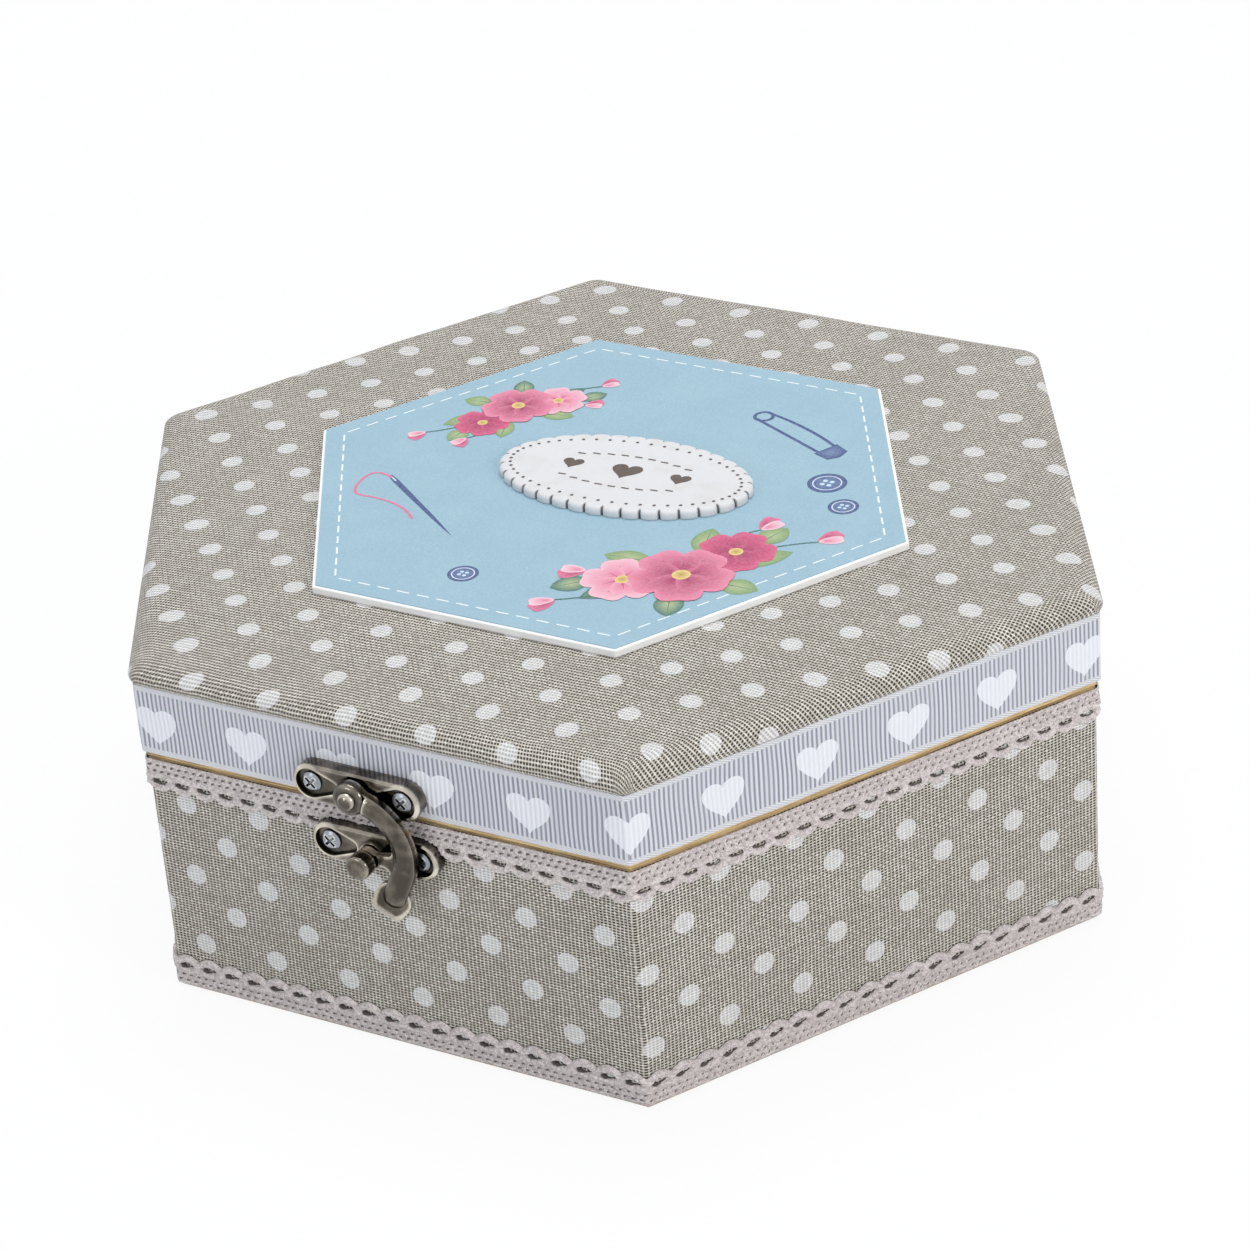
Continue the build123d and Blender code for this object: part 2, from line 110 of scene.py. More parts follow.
class Number:
    """A number that changes over a surface."""

    def __init__(self, tree, socket):
        self.tree = tree
        self.socket = socket

    def math(self, operation, *others):
        node = self.tree.nodes.new("ShaderNodeMath")
        node.operation = operation
        plug_all(self.tree, node.inputs, (self, *others))
        return Number(self.tree, node.outputs[0])

    def __add__(self, other):
        return self.math("ADD", other)

    def __sub__(self, other):
        return self.math("SUBTRACT", other)

    def __mul__(self, other):
        return self.math("MULTIPLY", other)

    def __truediv__(self, other):
        return self.math("DIVIDE", other)

    def __pow__(self, other):
        return self.math("POWER", other)

    def size(self):
        return self.math("ABSOLUTE")

    def wave(self):
        return self.math("SINE")

    def whole(self):
        return self.math("FLOOR")

    def within(self, pitch):
        """The distance from the nearest multiple of the pitch, below zero on one side."""
        return self - ((self / pitch + 0.5).whole() * pitch)

    def inverse(self):
        return (self * -1) + 1

    def step(self, low, high):
        """0 at low, 1 at high and a smooth change between them, whichever of the two is larger."""
        node = self.tree.nodes.new("ShaderNodeMapRange")
        node.interpolation_type = "SMOOTHSTEP"
        plug_all(self.tree, node.inputs, (self, low, high, 0, 1) if high > low else (self, high, low, 1, 0))
        return Number(self.tree, node.outputs[0])


def colour_mix(tree, share, first, second):
    """The first colour turning into the second as the share goes from 0 to 1."""
    node = tree.nodes.new("ShaderNodeMix")
    node.data_type = "RGBA"
    plug_all(tree, (node.inputs[0], node.inputs[6], node.inputs[7]), (share, first, second))
    return node.outputs[2]


def split(tree, vector):
    node = tree.nodes.new("ShaderNodeSeparateXYZ")
    plug(tree, node.inputs[0], vector)
    return [Number(tree, socket) for socket in node.outputs]


def join(tree, *numbers):
    node = tree.nodes.new("ShaderNodeCombineXYZ")
    plug_all(tree, node.inputs, numbers)
    return node.outputs[0]


def cloudy(tree, vector, size, detail=2.0, rough=0.5):
    """A soft random pattern from 0 to 1, with patches of about this size in millimetres."""
    node = tree.nodes.new("ShaderNodeTexNoise")
    plug(tree, node.inputs["Vector"], vector)
    node.inputs["Scale"].default_value = 1 / size
    node.inputs["Detail"].default_value = detail
    node.inputs["Roughness"].default_value = rough
    return Number(tree, node.outputs[0])


def chance(tree, number):
    """A random number from 0 to 1 for each whole number."""
    node = tree.nodes.new("ShaderNodeTexWhiteNoise")
    node.noise_dimensions = "1D"
    plug(tree, node.inputs["W"], number)
    return Number(tree, node.outputs["Value"])


# %% Materials and shader groups
def new_group(name, inputs, outputs):
    """A shader group. Inputs are (name, kind, value) and outputs are names of numbers."""
    tree = bpy.data.node_groups.new(name, "ShaderNodeTree")
    for label, kind, value in inputs:
        slot = tree.interface.new_socket(label, in_out="INPUT", socket_type="NodeSocket" + kind)
        if kind == "Float":
            slot.default_value = value
    for label in outputs:
        tree.interface.new_socket(label, in_out="OUTPUT", socket_type="NodeSocketFloat")
    start = tree.nodes.new("NodeGroupInput").outputs
    end = tree.nodes.new("NodeGroupOutput").inputs
    return tree, start, end


def use_group(tree, name, **values):
    """Place a group in a material and give back its outputs by name."""
    node = tree.nodes.new("ShaderNodeGroup")
    node.node_tree = bpy.data.node_groups[name]
    for label, value in values.items():
        plug(tree, node.inputs[label.replace("_", " ")], value)
    return {socket.name: Number(tree, socket) for socket in node.outputs}


def new_material(name, **values):
    """A material with a Principled shader. Values are set on the shader's own sockets."""
    material = bpy.data.materials.new(name)
    material.use_nodes = True
    tree = material.node_tree
    shader = tree.nodes["Principled BSDF"]
    for label, value in values.items():
        plug(tree, shader.inputs[label.replace("_", " ")], value)
    return material, tree, shader


def coat(tree, shader, colour, height, depth):
    """Give a surface its colour, and raise and sink it by this many millimetres."""
    plug(tree, shader.inputs["Base Color"], colour)
    node = tree.nodes.new("ShaderNodeBump")
    node.inputs["Strength"].default_value = 1.0
    node.inputs["Distance"].default_value = depth * MM
    plug(tree, node.inputs["Height"], height)
    tree.links.new(node.outputs[0], shader.inputs["Normal"])


def cloth_place(tree, layer="cloth"):
    """The place on the cloth in millimetres, laid flat. The layer "print" is the place in the printed
    pattern, which shifts a little where the cloth is pulled."""
    node = tree.nodes.new("ShaderNodeAttribute")
    node.attribute_name = layer
    return node.outputs["Vector"]


def solid_place(tree):
    """The place in a solid piece in millimetres."""
    node = tree.nodes.new("ShaderNodeTexCoord")
    scale = tree.nodes.new("ShaderNodeVectorMath")
    scale.operation = "SCALE"
    tree.links.new(node.outputs["Object"], scale.inputs[0])
    scale.inputs["Scale"].default_value = 1 / MM
    return scale.outputs[0]


# %% [markdown]
# ## Surfaces made from numbers
# Cloth round the box is one grid: columns follow the six sides and rows follow a profile. Working on all
# points at once with numpy is fast enough for every rib of the ribbon to be real geometry. Each point also
# keeps its place on the flat cloth, which the weave and the printed dots read.


# %% Points round the box
def side_length(flat):
    """The length of one side of a hexagon that is this wide from its middle to a side."""
    return 2 * flat * tan(pi / 6)


def around(run, flat, radius):
    """Places and outward directions round a hexagon with rounded corners.
    The run starts at the middle of the front side and goes to the right."""
    length = side_length(flat)
    side = np.round(run / length)
    along = run - side * length
    cut = max(radius, 0.01) * tan(pi / 6)
    straight = np.clip(along, cut - length / 2, length / 2 - cut)
    turn = (along - straight) / cut * pi / 6
    out = flat - radius + radius * np.cos(turn)
    along = straight + radius * np.sin(turn)
    angle = radians(270) + side * pi / 3
    x = out * np.cos(angle) - along * np.sin(angle)
    y = out * np.sin(angle) + along * np.cos(angle)
    return x, y, np.cos(angle + turn), np.sin(angle + turn)


def runs_round(flat, spacing, radius):
    """Runs round the hexagon, from the middle of the rear side, with more points at the corners."""
    length = side_length(flat)
    cut = radius * tan(pi / 6)
    straight = length / 2 - cut
    count = max(2, ceil(straight / spacing))
    half = np.concatenate([np.linspace(0, straight, count), straight + cut * np.arange(1, 5) / 4])
    side = np.concatenate([-half[:0:-1], half])
    runs = np.concatenate([side + step * length for step in range(-3, 4)])
    runs = runs[(runs >= -3 * length - 1e-6) & (runs <= 3 * length + 1e-6)]
    return np.unique(np.round(runs, 5))


def smooth_noise(x, y, size, seed):
    """Gentle waves without direction, from about -1 to 1."""
    picks = np.random.default_rng(seed)
    total = np.zeros(np.broadcast(x, y).shape)
    for _ in range(8):
        angle = picks.uniform(0, 2 * pi)
        pitch = size * picks.uniform(0.6, 1.8)
        total += np.sin((x * cos(angle) + y * sin(angle)) * 2 * pi / pitch + picks.uniform(0, 2 * pi))
    return total / 4


# %% Grids as pieces
def new_piece(name, points, faces, body, cloth=None, smooth=True, printed=None):
    """A mesh piece in millimetres that rides on a body."""
    mesh = bpy.data.meshes.new(name)
    faces = faces if isinstance(faces, list) else faces.tolist()
    mesh.from_pydata((np.asarray(points, float) * MM).tolist(), [], faces)
    for label, places in (("cloth", cloth), ("print", printed)):
        if places is not None:
            layer = mesh.attributes.new(label, "FLOAT_VECTOR", "POINT")
            layer.data.foreach_set("vector", np.asarray(places, np.float32).ravel())
    if smooth:
        mesh.shade_smooth()
    piece = bpy.data.objects.new(name, mesh)
    bpy.context.scene.collection.objects.link(piece)
    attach(piece, body)
    return piece


def grid_faces(columns, rows, wrap_rows=False):
    """Quads of a grid whose points are listed column by column."""
    row_count = rows if wrap_rows else rows - 1
    column, row = np.meshgrid(np.arange(columns - 1), np.arange(row_count), indexing="ij")
    above = (row + 1) % rows
    here, beyond = column * rows, (column + 1) * rows
    quads = [here + row, beyond + row, beyond + above, here + above]
    return np.stack([quad.ravel() for quad in quads], axis=1)


def fan_faces(count):
    """Triangles between point 0 and the first ring after it."""
    return [[0, 1 + step, 1 + (step + 1) % count] for step in range(count)]


def ring_faces(count, rings, start=0, turned=False):
    """Quads between rings that are listed one after the other from the point with the number start."""
    faces = []
    for ring in range(rings - 1):
        first = start + ring * count
        second = first + count
        for step in range(count):
            after = (step + 1) % count
            quad = [first + step, second + step, second + after, first + after]
            faces.append([quad[corner] for corner in (0, 3, 2, 1)] if turned else quad)
    return faces


def stacked(*grids):
    """One row of numbers for every point of grids that have the same shape."""
    return np.stack([np.broadcast_to(grid, grids[0].shape).ravel() for grid in grids], axis=1)


def finish_of(piece, material):
    """Give a piece this material alone."""
    piece.data.materials.clear()
    piece.data.materials.append(material)


# %% [markdown]
# ## Linen
# Plain weave is two sets of threads that pass over and under each other. Across one thread the height is an
# arch, and along it the thread rises and dips with every crossing. The higher thread wins, and where both
# are low there is a hole, which the linen and the cotton paint dark: painted shade. No two crossings are
# equally bright, which is what shows that it is linen.
# A shader group holds this, because the box, the lid, the lining and the plaque use it at other scales.
#
# The printed dots are a second group: two grids of circles, one shifted by half a pitch, with rims that are
# a little ragged.

# %% Plain weave as a group
tree, start, end = new_group("Plain weave",
                             [("Cloth", "Vector", 0), ("Pitch X", "Float", 0.7), ("Pitch Y", "Float", 0.7)],
                             ["Height", "Hole", "Tone", "Under", "Gap"])
across, along, _ = split(tree, start["Cloth"])
drift = cloudy(tree, start["Cloth"], 9)
other_drift = cloudy(tree, join(tree, along, across, 40.0), 7)
warp = across / start["Pitch X"] + (drift - 0.5) * 0.9
weft = along / start["Pitch Y"] + (other_drift - 0.5) * 0.9
warp_wave = (warp * pi).wave()
weft_wave = (weft * pi).wave()
warp_arch = warp_wave.size() ** 0.7
weft_arch = weft_wave.size() ** 0.7
warp_height = warp_arch + warp_wave.math("SIGN") * weft_wave * 0.42
weft_height = weft_arch - weft_wave.math("SIGN") * warp_wave * 0.42
warp_above = (warp_height - weft_height).step(-0.08, 0.08)
crossing = chance(tree, warp.whole() * 37.0 + weft.whole() * 1.7)
warp_tone = chance(tree, warp.whole()) * 0.35 + crossing * 0.65
weft_tone = chance(tree, weft.whole() + 90.5) * 0.35 + crossing * 0.65
plug(tree, end["Height"], warp_height.math("MAXIMUM", weft_height) * 0.7)
plug(tree, end["Hole"], warp_arch.math("MAXIMUM", weft_arch).step(0.985, 0.78))
plug(tree, end["Tone"], warp_tone * warp_above + weft_tone * warp_above.inverse())
plug(tree, end["Under"], warp_above)
plug(tree, end["Gap"], weft_arch.inverse())
print("plain weave:", len(tree.nodes), "nodes")

# %% Printed dots as a group
HALF_PITCH = 9.1
tree, start, end = new_group("Printed dots", [
    ("Cloth", "Vector", 0), ("Start X", "Float", 0), ("Start Y", "Float", 0),
    ("Half pitch X", "Float", HALF_PITCH), ("Half pitch Y", "Float", HALF_PITCH), ("Radius", "Float", 2.5)],
    ["Dot"])
across, along, _ = split(tree, start["Cloth"])
across = (across - start["Start X"]) / start["Half pitch X"]
along = (along - start["Start Y"]) / start["Half pitch Y"]
near = (across / 2).within(1) * 2
near_up = (along / 2).within(1) * 2
far = ((across - 1) / 2).within(1) * 2
far_up = ((along - 1) / 2).within(1) * 2
distance = (near * near + near_up * near_up).math("MINIMUM", far * far + far_up * far_up).math("SQRT")
distance = distance * start["Half pitch X"] / start["Radius"]
ragged = cloudy(tree, start["Cloth"], 0.5, 3) * 0.16
plug(tree, end["Dot"], (distance + ragged - 0.08).step(1.05, 0.97))
print("printed dots:", len(tree.nodes), "nodes")


# %% Dotted linen
def dotted_linen(name, pitches, start_x, start_y, half_pitch_y, radius):
    """Linen with printed white dots. Every second row is shifted by half a pitch."""
    material, tree, shader = new_material(name, Roughness=0.92, Specular_IOR_Level=0.15, Sheen_Weight=0.12)
    place = cloth_place(tree)
    weave = use_group(tree, "Plain weave", Cloth=place, Pitch_X=pitches[0], Pitch_Y=pitches[1])
    dots = use_group(tree, "Printed dots", Cloth=cloth_place(tree, "print"), Start_X=start_x, Start_Y=start_y,
                     Half_pitch_X=HALF_PITCH, Half_pitch_Y=half_pitch_y, Radius=radius)
    thread = colour_mix(tree, weave["Tone"].step(0.1, 0.9), (0.60, 0.55, 0.475), (0.83, 0.785, 0.70))
    shade = cloudy(tree, place, 26, 3).step(0.3, 0.7) * 0.15
    thread = colour_mix(tree, shade, thread, (0.44, 0.405, 0.35))
    rounded = weave["Height"].step(0.1, 0.85)
    thread = colour_mix(tree, weave["Under"] * 0.18, thread, (0.20, 0.175, 0.145))
    # The low sides of the threads and the gaps between them are painted darker, and the holes near black:
    # painted shade.
    between = (rounded.inverse() * 0.35).math("MAXIMUM", weave["Gap"] * 0.4)
    thread = colour_mix(tree, between, thread, (0.10, 0.085, 0.07))
    linen = colour_mix(tree, weave["Hole"] * 0.95, thread, (0.02, 0.017, 0.014))
    white = colour_mix(tree, weave["Tone"], (0.70, 0.69, 0.685), (0.86, 0.85, 0.845))
    # The white of the dots is painted darker in the holes and gaps of the weave: painted shade.
    paint = colour_mix(tree, weave["Hole"] * 0.55 + weave["Gap"] * 0.3, white, (0.33, 0.31, 0.29))
    colour = colour_mix(tree, dots["Dot"], linen, paint)
    coat(tree, shader, colour, weave["Height"] + dots["Dot"] * 0.25, 0.14)
    return material


side_linen = dotted_linen("side_linen", (0.9, 0.678), -40.4, 40.3, 8.9, 2.45)
lid_linen = dotted_linen("lid_linen", (0.678, 0.91), 3.4, 1.5, HALF_PITCH, 2.32)
print("linen for the sides and for the lid")

# %% [markdown]
# ## Cloth round the box
# The linen is one long strip glued round the walls, so the dots run on over every corner, and they climb a
# little on the way, because the strip wasn't laid quite level. The strip has its real thickness, so its cut
# edges show where the wood begins.


# %% Bands round the box
def cloth_band(name, body, flat, profile, radius, spacing, climb=0.0, inside=False):
    """A strip round the box. The profile is a closed list of (distance out, z) round its section."""
    runs = runs_round(flat, spacing, radius)
    x, y, out_x, out_y = (value[:, None] for value in around(runs, flat, radius))
    reach = np.array([point[0] for point in profile])[None, :]
    level = np.array([point[1] for point in profile])[None, :] + 0 * x
    points = stacked(x + out_x * reach, y + out_y * reach, level)
    cloth = stacked(runs[:, None] + 0 * level, level - climb * runs[:, None], 0 * level)
    faces = grid_faces(len(runs), len(profile), wrap_rows=True)
    if inside:
        faces = faces[:, ::-1]
    return new_piece(name, points, faces, body, cloth, printed=cloth)


def strip_section(low, high, thick, rows, edge=0.12):
    """The section of a strip from bottom to top: its face with softened edges, then its back."""
    face = [(0, low), (thick - edge, low), (thick, low + edge)]
    face += [(thick, level) for level in np.linspace(low + 2, high - 2, rows)]
    return face + [(thick, high - edge), (thick - edge, high), (0, high)]


half_flat = half_flat_of("wall_rear")
cover_flat = half_flat_of("box_cover")
cover_low, cover_high = levels_of("box_cover")
CLIMB = 0.015
cover_section = strip_section(cover_low, cover_high, cover_flat - half_flat, 8)
linen_strip = cloth_band("linen_strip", "box", half_flat, cover_section, 0.9, 6, CLIMB)
finish_of(linen_strip, side_linen)
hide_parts("box_cover")
strip_length = 6 * side_length(cover_flat)
strip_length * MM
print("linen strip:", round(strip_length), "mm long")

# %% [markdown]
# ## The padded lid
# The lid's linen is pulled over a layer of foam and down behind the ribbon. It bulges a little over the
# ribbon, turns over in a soft shoulder and rises gently to the plaque in the middle. The surface is a stack
# of rounded hexagons from the middle of the lid out to the edge and down, so the flat place on the cloth is
# known for every point: beyond the shoulder the cloth simply goes on outwards. Where it is pulled down, the
# printed dots drift outwards with it.

# %% The lid's linen
lid_cover_flat = half_flat_of("rim_rear") + 0.5
pad_low = levels_of("foam_pad")[0]
skirt_low, lid_top = levels_of("lid_cover")
pad_widest = half_flat_of("lid_cover")
plaque_flat = half_flat_of("plaque_board")
SHOULDER, CORNER, CROWN = 5.0, 4.0, 1.5
LINEN_THICK = 0.45
DRIFT, DRIFT_START, DRIFT_RUN = 2.0, -12, 16


def shoulder_section():
    """(half width, z, length of cloth) from the flat top down to the lower edge of the skirt."""
    rise = lid_top - CROWN - pad_low
    waist = rise / 3
    bulge = pad_widest - lid_cover_flat
    places = []
    for step in range(13):
        turn = radians(90 * step / 12)
        places.append((pad_widest - SHOULDER * (1 - sin(turn)), pad_low + waist + (rise - waist) * cos(turn)))
    for step in range(1, 5):
        turn = radians(90 * step / 4)
        places.append((pad_widest - bulge * (1 - cos(turn)), pad_low + waist * (1 - sin(turn))))
    places += [(lid_cover_flat, level) for level in np.linspace(pad_low - 1, skirt_low, 5)]
    section, used = [], 0.0
    before = places[0]
    for place in places:
        used += hypot(place[0] - before[0], place[1] - before[1])
        section.append((*place, used))
        before = place
    return section


def crown_at(flat):
    """The height of the lid's top: level under the plaque and falling softly to the shoulder."""
    level_flat = plaque_flat + 1.5
    share = np.clip((flat - level_flat) / (pad_widest - SHOULDER - level_flat), 0, 1)
    return lid_top - CROWN * share ** 1.25


def lid_linen_points():
    """Points of the lid's linen, their places on the cloth and in its print, and how they are counted."""
    section = shoulder_section()
    top_flat = section[0][0]
    runs = runs_round(top_flat, 3.5, CORNER)[:-1]
    scale = runs / side_length(top_flat)
    rings = [(flat, crown_at(flat), 0.0) for flat in np.linspace(6, top_flat, 26)[:-1]] + section
    points, cloth, printed = [(0, 0, lid_top)], [(0, 0, 0)], [(0, 0, 0)]
    edge_x, edge_y, _, _ = around(runs, top_flat, CORNER)
    for flat, level, used in rings:
        x, y, out_x, out_y = around(scale * side_length(flat), flat, min(CORNER, flat / 3))
        unevenness = 0.2 * np.clip((flat - 72) / 12, 0, 1) * np.clip((level - pad_low) / 4, 0, 1)
        points += list(zip(x, y, level + unevenness * smooth_noise(x, y, 38, 5)))
        base = (edge_x, edge_y) if used > 0 else (x, y)
        cloth += list(zip(base[0] + out_x * used, base[1] + out_y * used, 0 * x))
        past_edge = used if used > 0 else flat - top_flat
        share = np.clip((past_edge - DRIFT_START) / DRIFT_RUN, 0, 1)
        reach = used - DRIFT * share * share * (3 - 2 * share)
        printed += list(zip(base[0] + out_x * reach, base[1] + out_y * reach, 0 * x))
    return np.array(points), np.array(cloth), np.array(printed), len(runs), len(rings)


points, cloth, printed, count, rings = lid_linen_points()
faces = fan_faces(count) + ring_faces(count, rings, start=1)
lid_cloth = new_piece("lid_linen_cover", points, faces, "lid", cloth, printed=printed)
finish_of(lid_cloth, lid_linen)
thickness = lid_cloth.modifiers.new("thickness", "SOLIDIFY")
thickness.thickness = LINEN_THICK * MM
thickness.offset = -1
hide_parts("lid_cover")
cut_flat = shoulder_section()[0][0] + shoulder_section()[-1][2]
2 * cut_flat * MM
2 * cut_flat / cos(pi / 6) * MM
2 * sqrt(3) * (cut_flat * MM) ** 2
print("lid linen: cut", round(2 * cut_flat), "mm across flats")


# %% The foam under it
def foam_points():
    """The foam is the same form, smaller by the thickness of the linen."""
    below, waist = 0.6, 1.6
    scale = runs_round(90, 8, 5.0)[:-1] / side_length(90)
    rings = [(flat, crown_at(flat) - 0.65) for flat in np.linspace(8, 95, 14)]
    for step in range(1, 7):
        turn = radians(90 * step / 6)
        rings.append((pad_widest - below - SHOULDER * (1 - sin(turn)),
                      pad_low + waist + (lid_top - CROWN - below - waist - pad_low) * cos(turn)))
    rings += [(pad_widest - 1.2, pad_low + 0.7), (lid_cover_flat - 0.7, pad_low), (60, pad_low), (8, pad_low)]
    points = []
    for flat, level in rings:
        x, y, _, _ = around(scale * side_length(flat), flat, min(CORNER, flat / 3))
        points += list(zip(x, y, 0 * x + level))
    return points, len(scale), len(rings)


points, count, rings = foam_points()
faces = [list(range(count)), list(range((rings - 1) * count, rings * count))[::-1]]
faces += ring_faces(count, rings)
lid_foam = new_piece("lid_foam", points, faces, "lid")
foam, tree, shader = new_material("foam", Roughness=0.95, Specular_IOR_Level=0.1)
place = solid_place(tree)
bubbles = cloudy(tree, place, 0.9, 3).step(0.35, 0.62)
coat(tree, shader, colour_mix(tree, bubbles, (0.62, 0.58, 0.48), (0.88, 0.86, 0.78)), bubbles, 0.2)
finish_of(lid_foam, foam)
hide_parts("foam_pad")
print("foam:", len(points), "points")

# %% [markdown]
# ## The ribbon with hearts
# Grosgrain ribbon has thick ribs across it and a fine woven edge on both sides. The ribs catch the light, so
# they are real geometry, more than 600 of them. The hearts are printed white over the ribs. A heart is a
# formula too: a circle whose middle is pushed up by the square root of the distance from its axis.

# %% Ribbon geometry
RIB = 1.1
HEART_PITCH, HEART_SHIFT, HEART_LEVEL = 22.4, 53.6, 5.9
HEART_HALF_WIDTH, HEART_HALF_HEIGHT = 5.05, 3.75
WOVEN_EDGE = 1.5
ribbon_inner = lid_cover_flat
ribbon_low, ribbon_high = levels_of("heart_ribbon")


def ribbon_grid():
    """Points of the ribbon in columns, four to a rib, with their places on the flat ribbon."""
    length = 6 * side_length(ribbon_inner)
    ribs = round(length / RIB)
    runs = (np.arange(4 * ribs + 1) / (4 * ribs) - 0.5) * length
    rib_height = 0.5 - 0.5 * np.cos(np.arange(4 * ribs + 1) * pi / 2)
    high = ribbon_high - ribbon_low
    edge_levels = np.array([0.0, 0.0, 0.1, 0.55, 1.0])
    middle = np.linspace(WOVEN_EDGE, high - WOVEN_EDGE, 9)
    levels = np.concatenate([edge_levels, middle, high - edge_levels[::-1]])
    edge_depth = np.array([0, 0.36, 0.4, 0.42, 0.38])
    edge_relief = np.array([0, 0.02, 0.03, 0.03, 0.06])
    depth = np.concatenate([edge_depth, 0 * middle + 0.3, edge_depth[::-1]])
    relief = np.concatenate([edge_relief, 0 * middle + 0.2, edge_relief[::-1]])
    run, level = np.meshgrid(runs, levels, indexing="ij")
    wander = 0.22 * smooth_noise(run, level, 22, 11) * np.sin(np.clip(level / high, 0, 1) * pi)
    x, y, out_x, out_y = around(np.clip(run + wander, runs[0], runs[-1]), ribbon_inner, 0.7)
    reach = depth[None, :] + relief[None, :] * rib_height[:, None]
    edge = 0.1 * smooth_noise(run, 0 * run, 30, 3) * (np.abs(level / high - 0.5) * 2) ** 6
    points = stacked(x + out_x * reach, y + out_y * reach, level + ribbon_low + edge)
    return points, stacked(run, level, 0 * run), len(runs), len(levels)


points, cloth, columns, rows = ribbon_grid()
faces = grid_faces(columns, rows, wrap_rows=True)
ribbon = new_piece("heart_ribbon_band", points, faces, "lid", cloth)
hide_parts("heart_ribbon")
6 * side_length(ribbon_inner) * MM
print("ribbon:", columns, "columns of points")

# %% Ribbon material
grosgrain, tree, shader = new_material("grosgrain", Roughness=0.55, Specular_IOR_Level=0.35, Sheen_Weight=0.2)
place = cloth_place(tree)
run, level, _ = split(tree, place)
rib = (run * (2 * pi / RIB)).math("COSINE") * -0.5 + 0.5
fine = cloudy(tree, place, 0.35, 2)
# The grooves between the ribs are painted grey-blue and the crests pale: painted shade on the real ribs.
ribs = colour_mix(tree, rib.step(0.15, 0.8), (0.26, 0.265, 0.32), (0.70, 0.705, 0.76))
rib_shade = cloudy(tree, join(tree, run, level * 0.1, 2.0), 2.3).step(0.3, 0.7) * 0.25
ribs = colour_mix(tree, rib_shade, ribs, (0.48, 0.49, 0.54))
twill = ((run * 1.1 + level * 2.6) * (2 * pi / 1.4)).wave() * 0.5 + 0.5
edge_colour = colour_mix(tree, twill.step(0.2, 0.6), (0.54, 0.545, 0.585), (0.77, 0.775, 0.80))
half_height = (ribbon_high - ribbon_low) / 2
woven_edge = (level - half_height).size().step(half_height - WOVEN_EDGE, half_height - WOVEN_EDGE + 0.4)
base = colour_mix(tree, woven_edge, ribs, edge_colour)
heart_x = (run + HEART_SHIFT).within(HEART_PITCH) / HEART_HALF_WIDTH
heart_y = (level - HEART_LEVEL) / HEART_HALF_HEIGHT
lobes = heart_y - heart_x.size().math("SQRT") * 0.8
heart = (heart_x * heart_x + lobes * lobes + fine * 0.05).step(1.06, 0.99)
# The printed hearts are painted darker in the grooves too: painted shade.
print_colour = colour_mix(tree, rib.step(0.1, 0.9).inverse() * 0.3, (0.82, 0.825, 0.875), (0.58, 0.60, 0.67))
coat(tree, shader, colour_mix(tree, heart, base, print_colour), twill * woven_edge + fine * 0.3, 0.08)
finish_of(ribbon, grosgrain)
print("grosgrain with a heart every", HEART_PITCH, "mm")

# %% [markdown]
# ## Crochet lace
# The lace has a close tape with two rows of pin holes, a row of long slots, and a thick scalloped edge. One
# tile with one slot is repeated along the band. The tile is a height field: the cords are arches, the slots
# are real holes, and the linen shows through them.

# %% Lace geometry
LACE_ROWS, LACE_COLUMNS = 32, 22
LACE_WIDTH, SCALLOP = 7.8, 1.3
MEAN_STAND = 0.55
TILE = 5.6


def lace_height(across, up, pitch, edge):
    """How far the lace stands out at a place: across is measured from the middle of a slot, up from the
    straight edge."""
    phase = across / pitch * 2 * pi
    slant = 2.6 * np.abs(((up / 0.72) % 1) - 0.5)
    stitch = np.sin(across * 6 * pi / pitch * 2 + slant) * np.sin(up * 2 * pi / 0.72)
    tape = 0.66 + 0.13 * stitch
    for row, shift in ((1.15, 0.0), (2.6, 0.9)):
        spot = (across + shift + pitch / 6) % (pitch / 3) - pitch / 6
        tape = tape - 0.6 * np.exp(-((spot / 0.3) ** 2 + ((up - row) / 0.27) ** 2))
    chain_middle = 4.05 - 0.16 * np.cos(phase)
    chain = 1.0 * np.sqrt(np.clip(1 - ((up - chain_middle) / 0.7) ** 2, 0, 1))
    cord_middle = edge - 1.0
    cord = 1.08 * np.sqrt(np.clip(1 - ((up - cord_middle) / 1.05) ** 2, 0, 1))
    from_bar = (across % pitch) - pitch / 2
    bar = 0.9 * np.exp(-((from_bar - 0.5 * (up - 5.3)) / 0.85) ** 2) * (up > 4) * (up < edge - 0.6)
    bundle = 1 + 0.13 * np.sin(across * 2 * pi / 1.25 + up * 3.0)
    body = np.maximum(np.where(up < 4.0, tape, 0.0), np.maximum(np.maximum(chain, cord) * bundle, bar))
    rim = np.clip(np.minimum(0.35 + up / 0.3, (edge - up) / 0.12), 0, 1)
    return body * np.sqrt(rim)


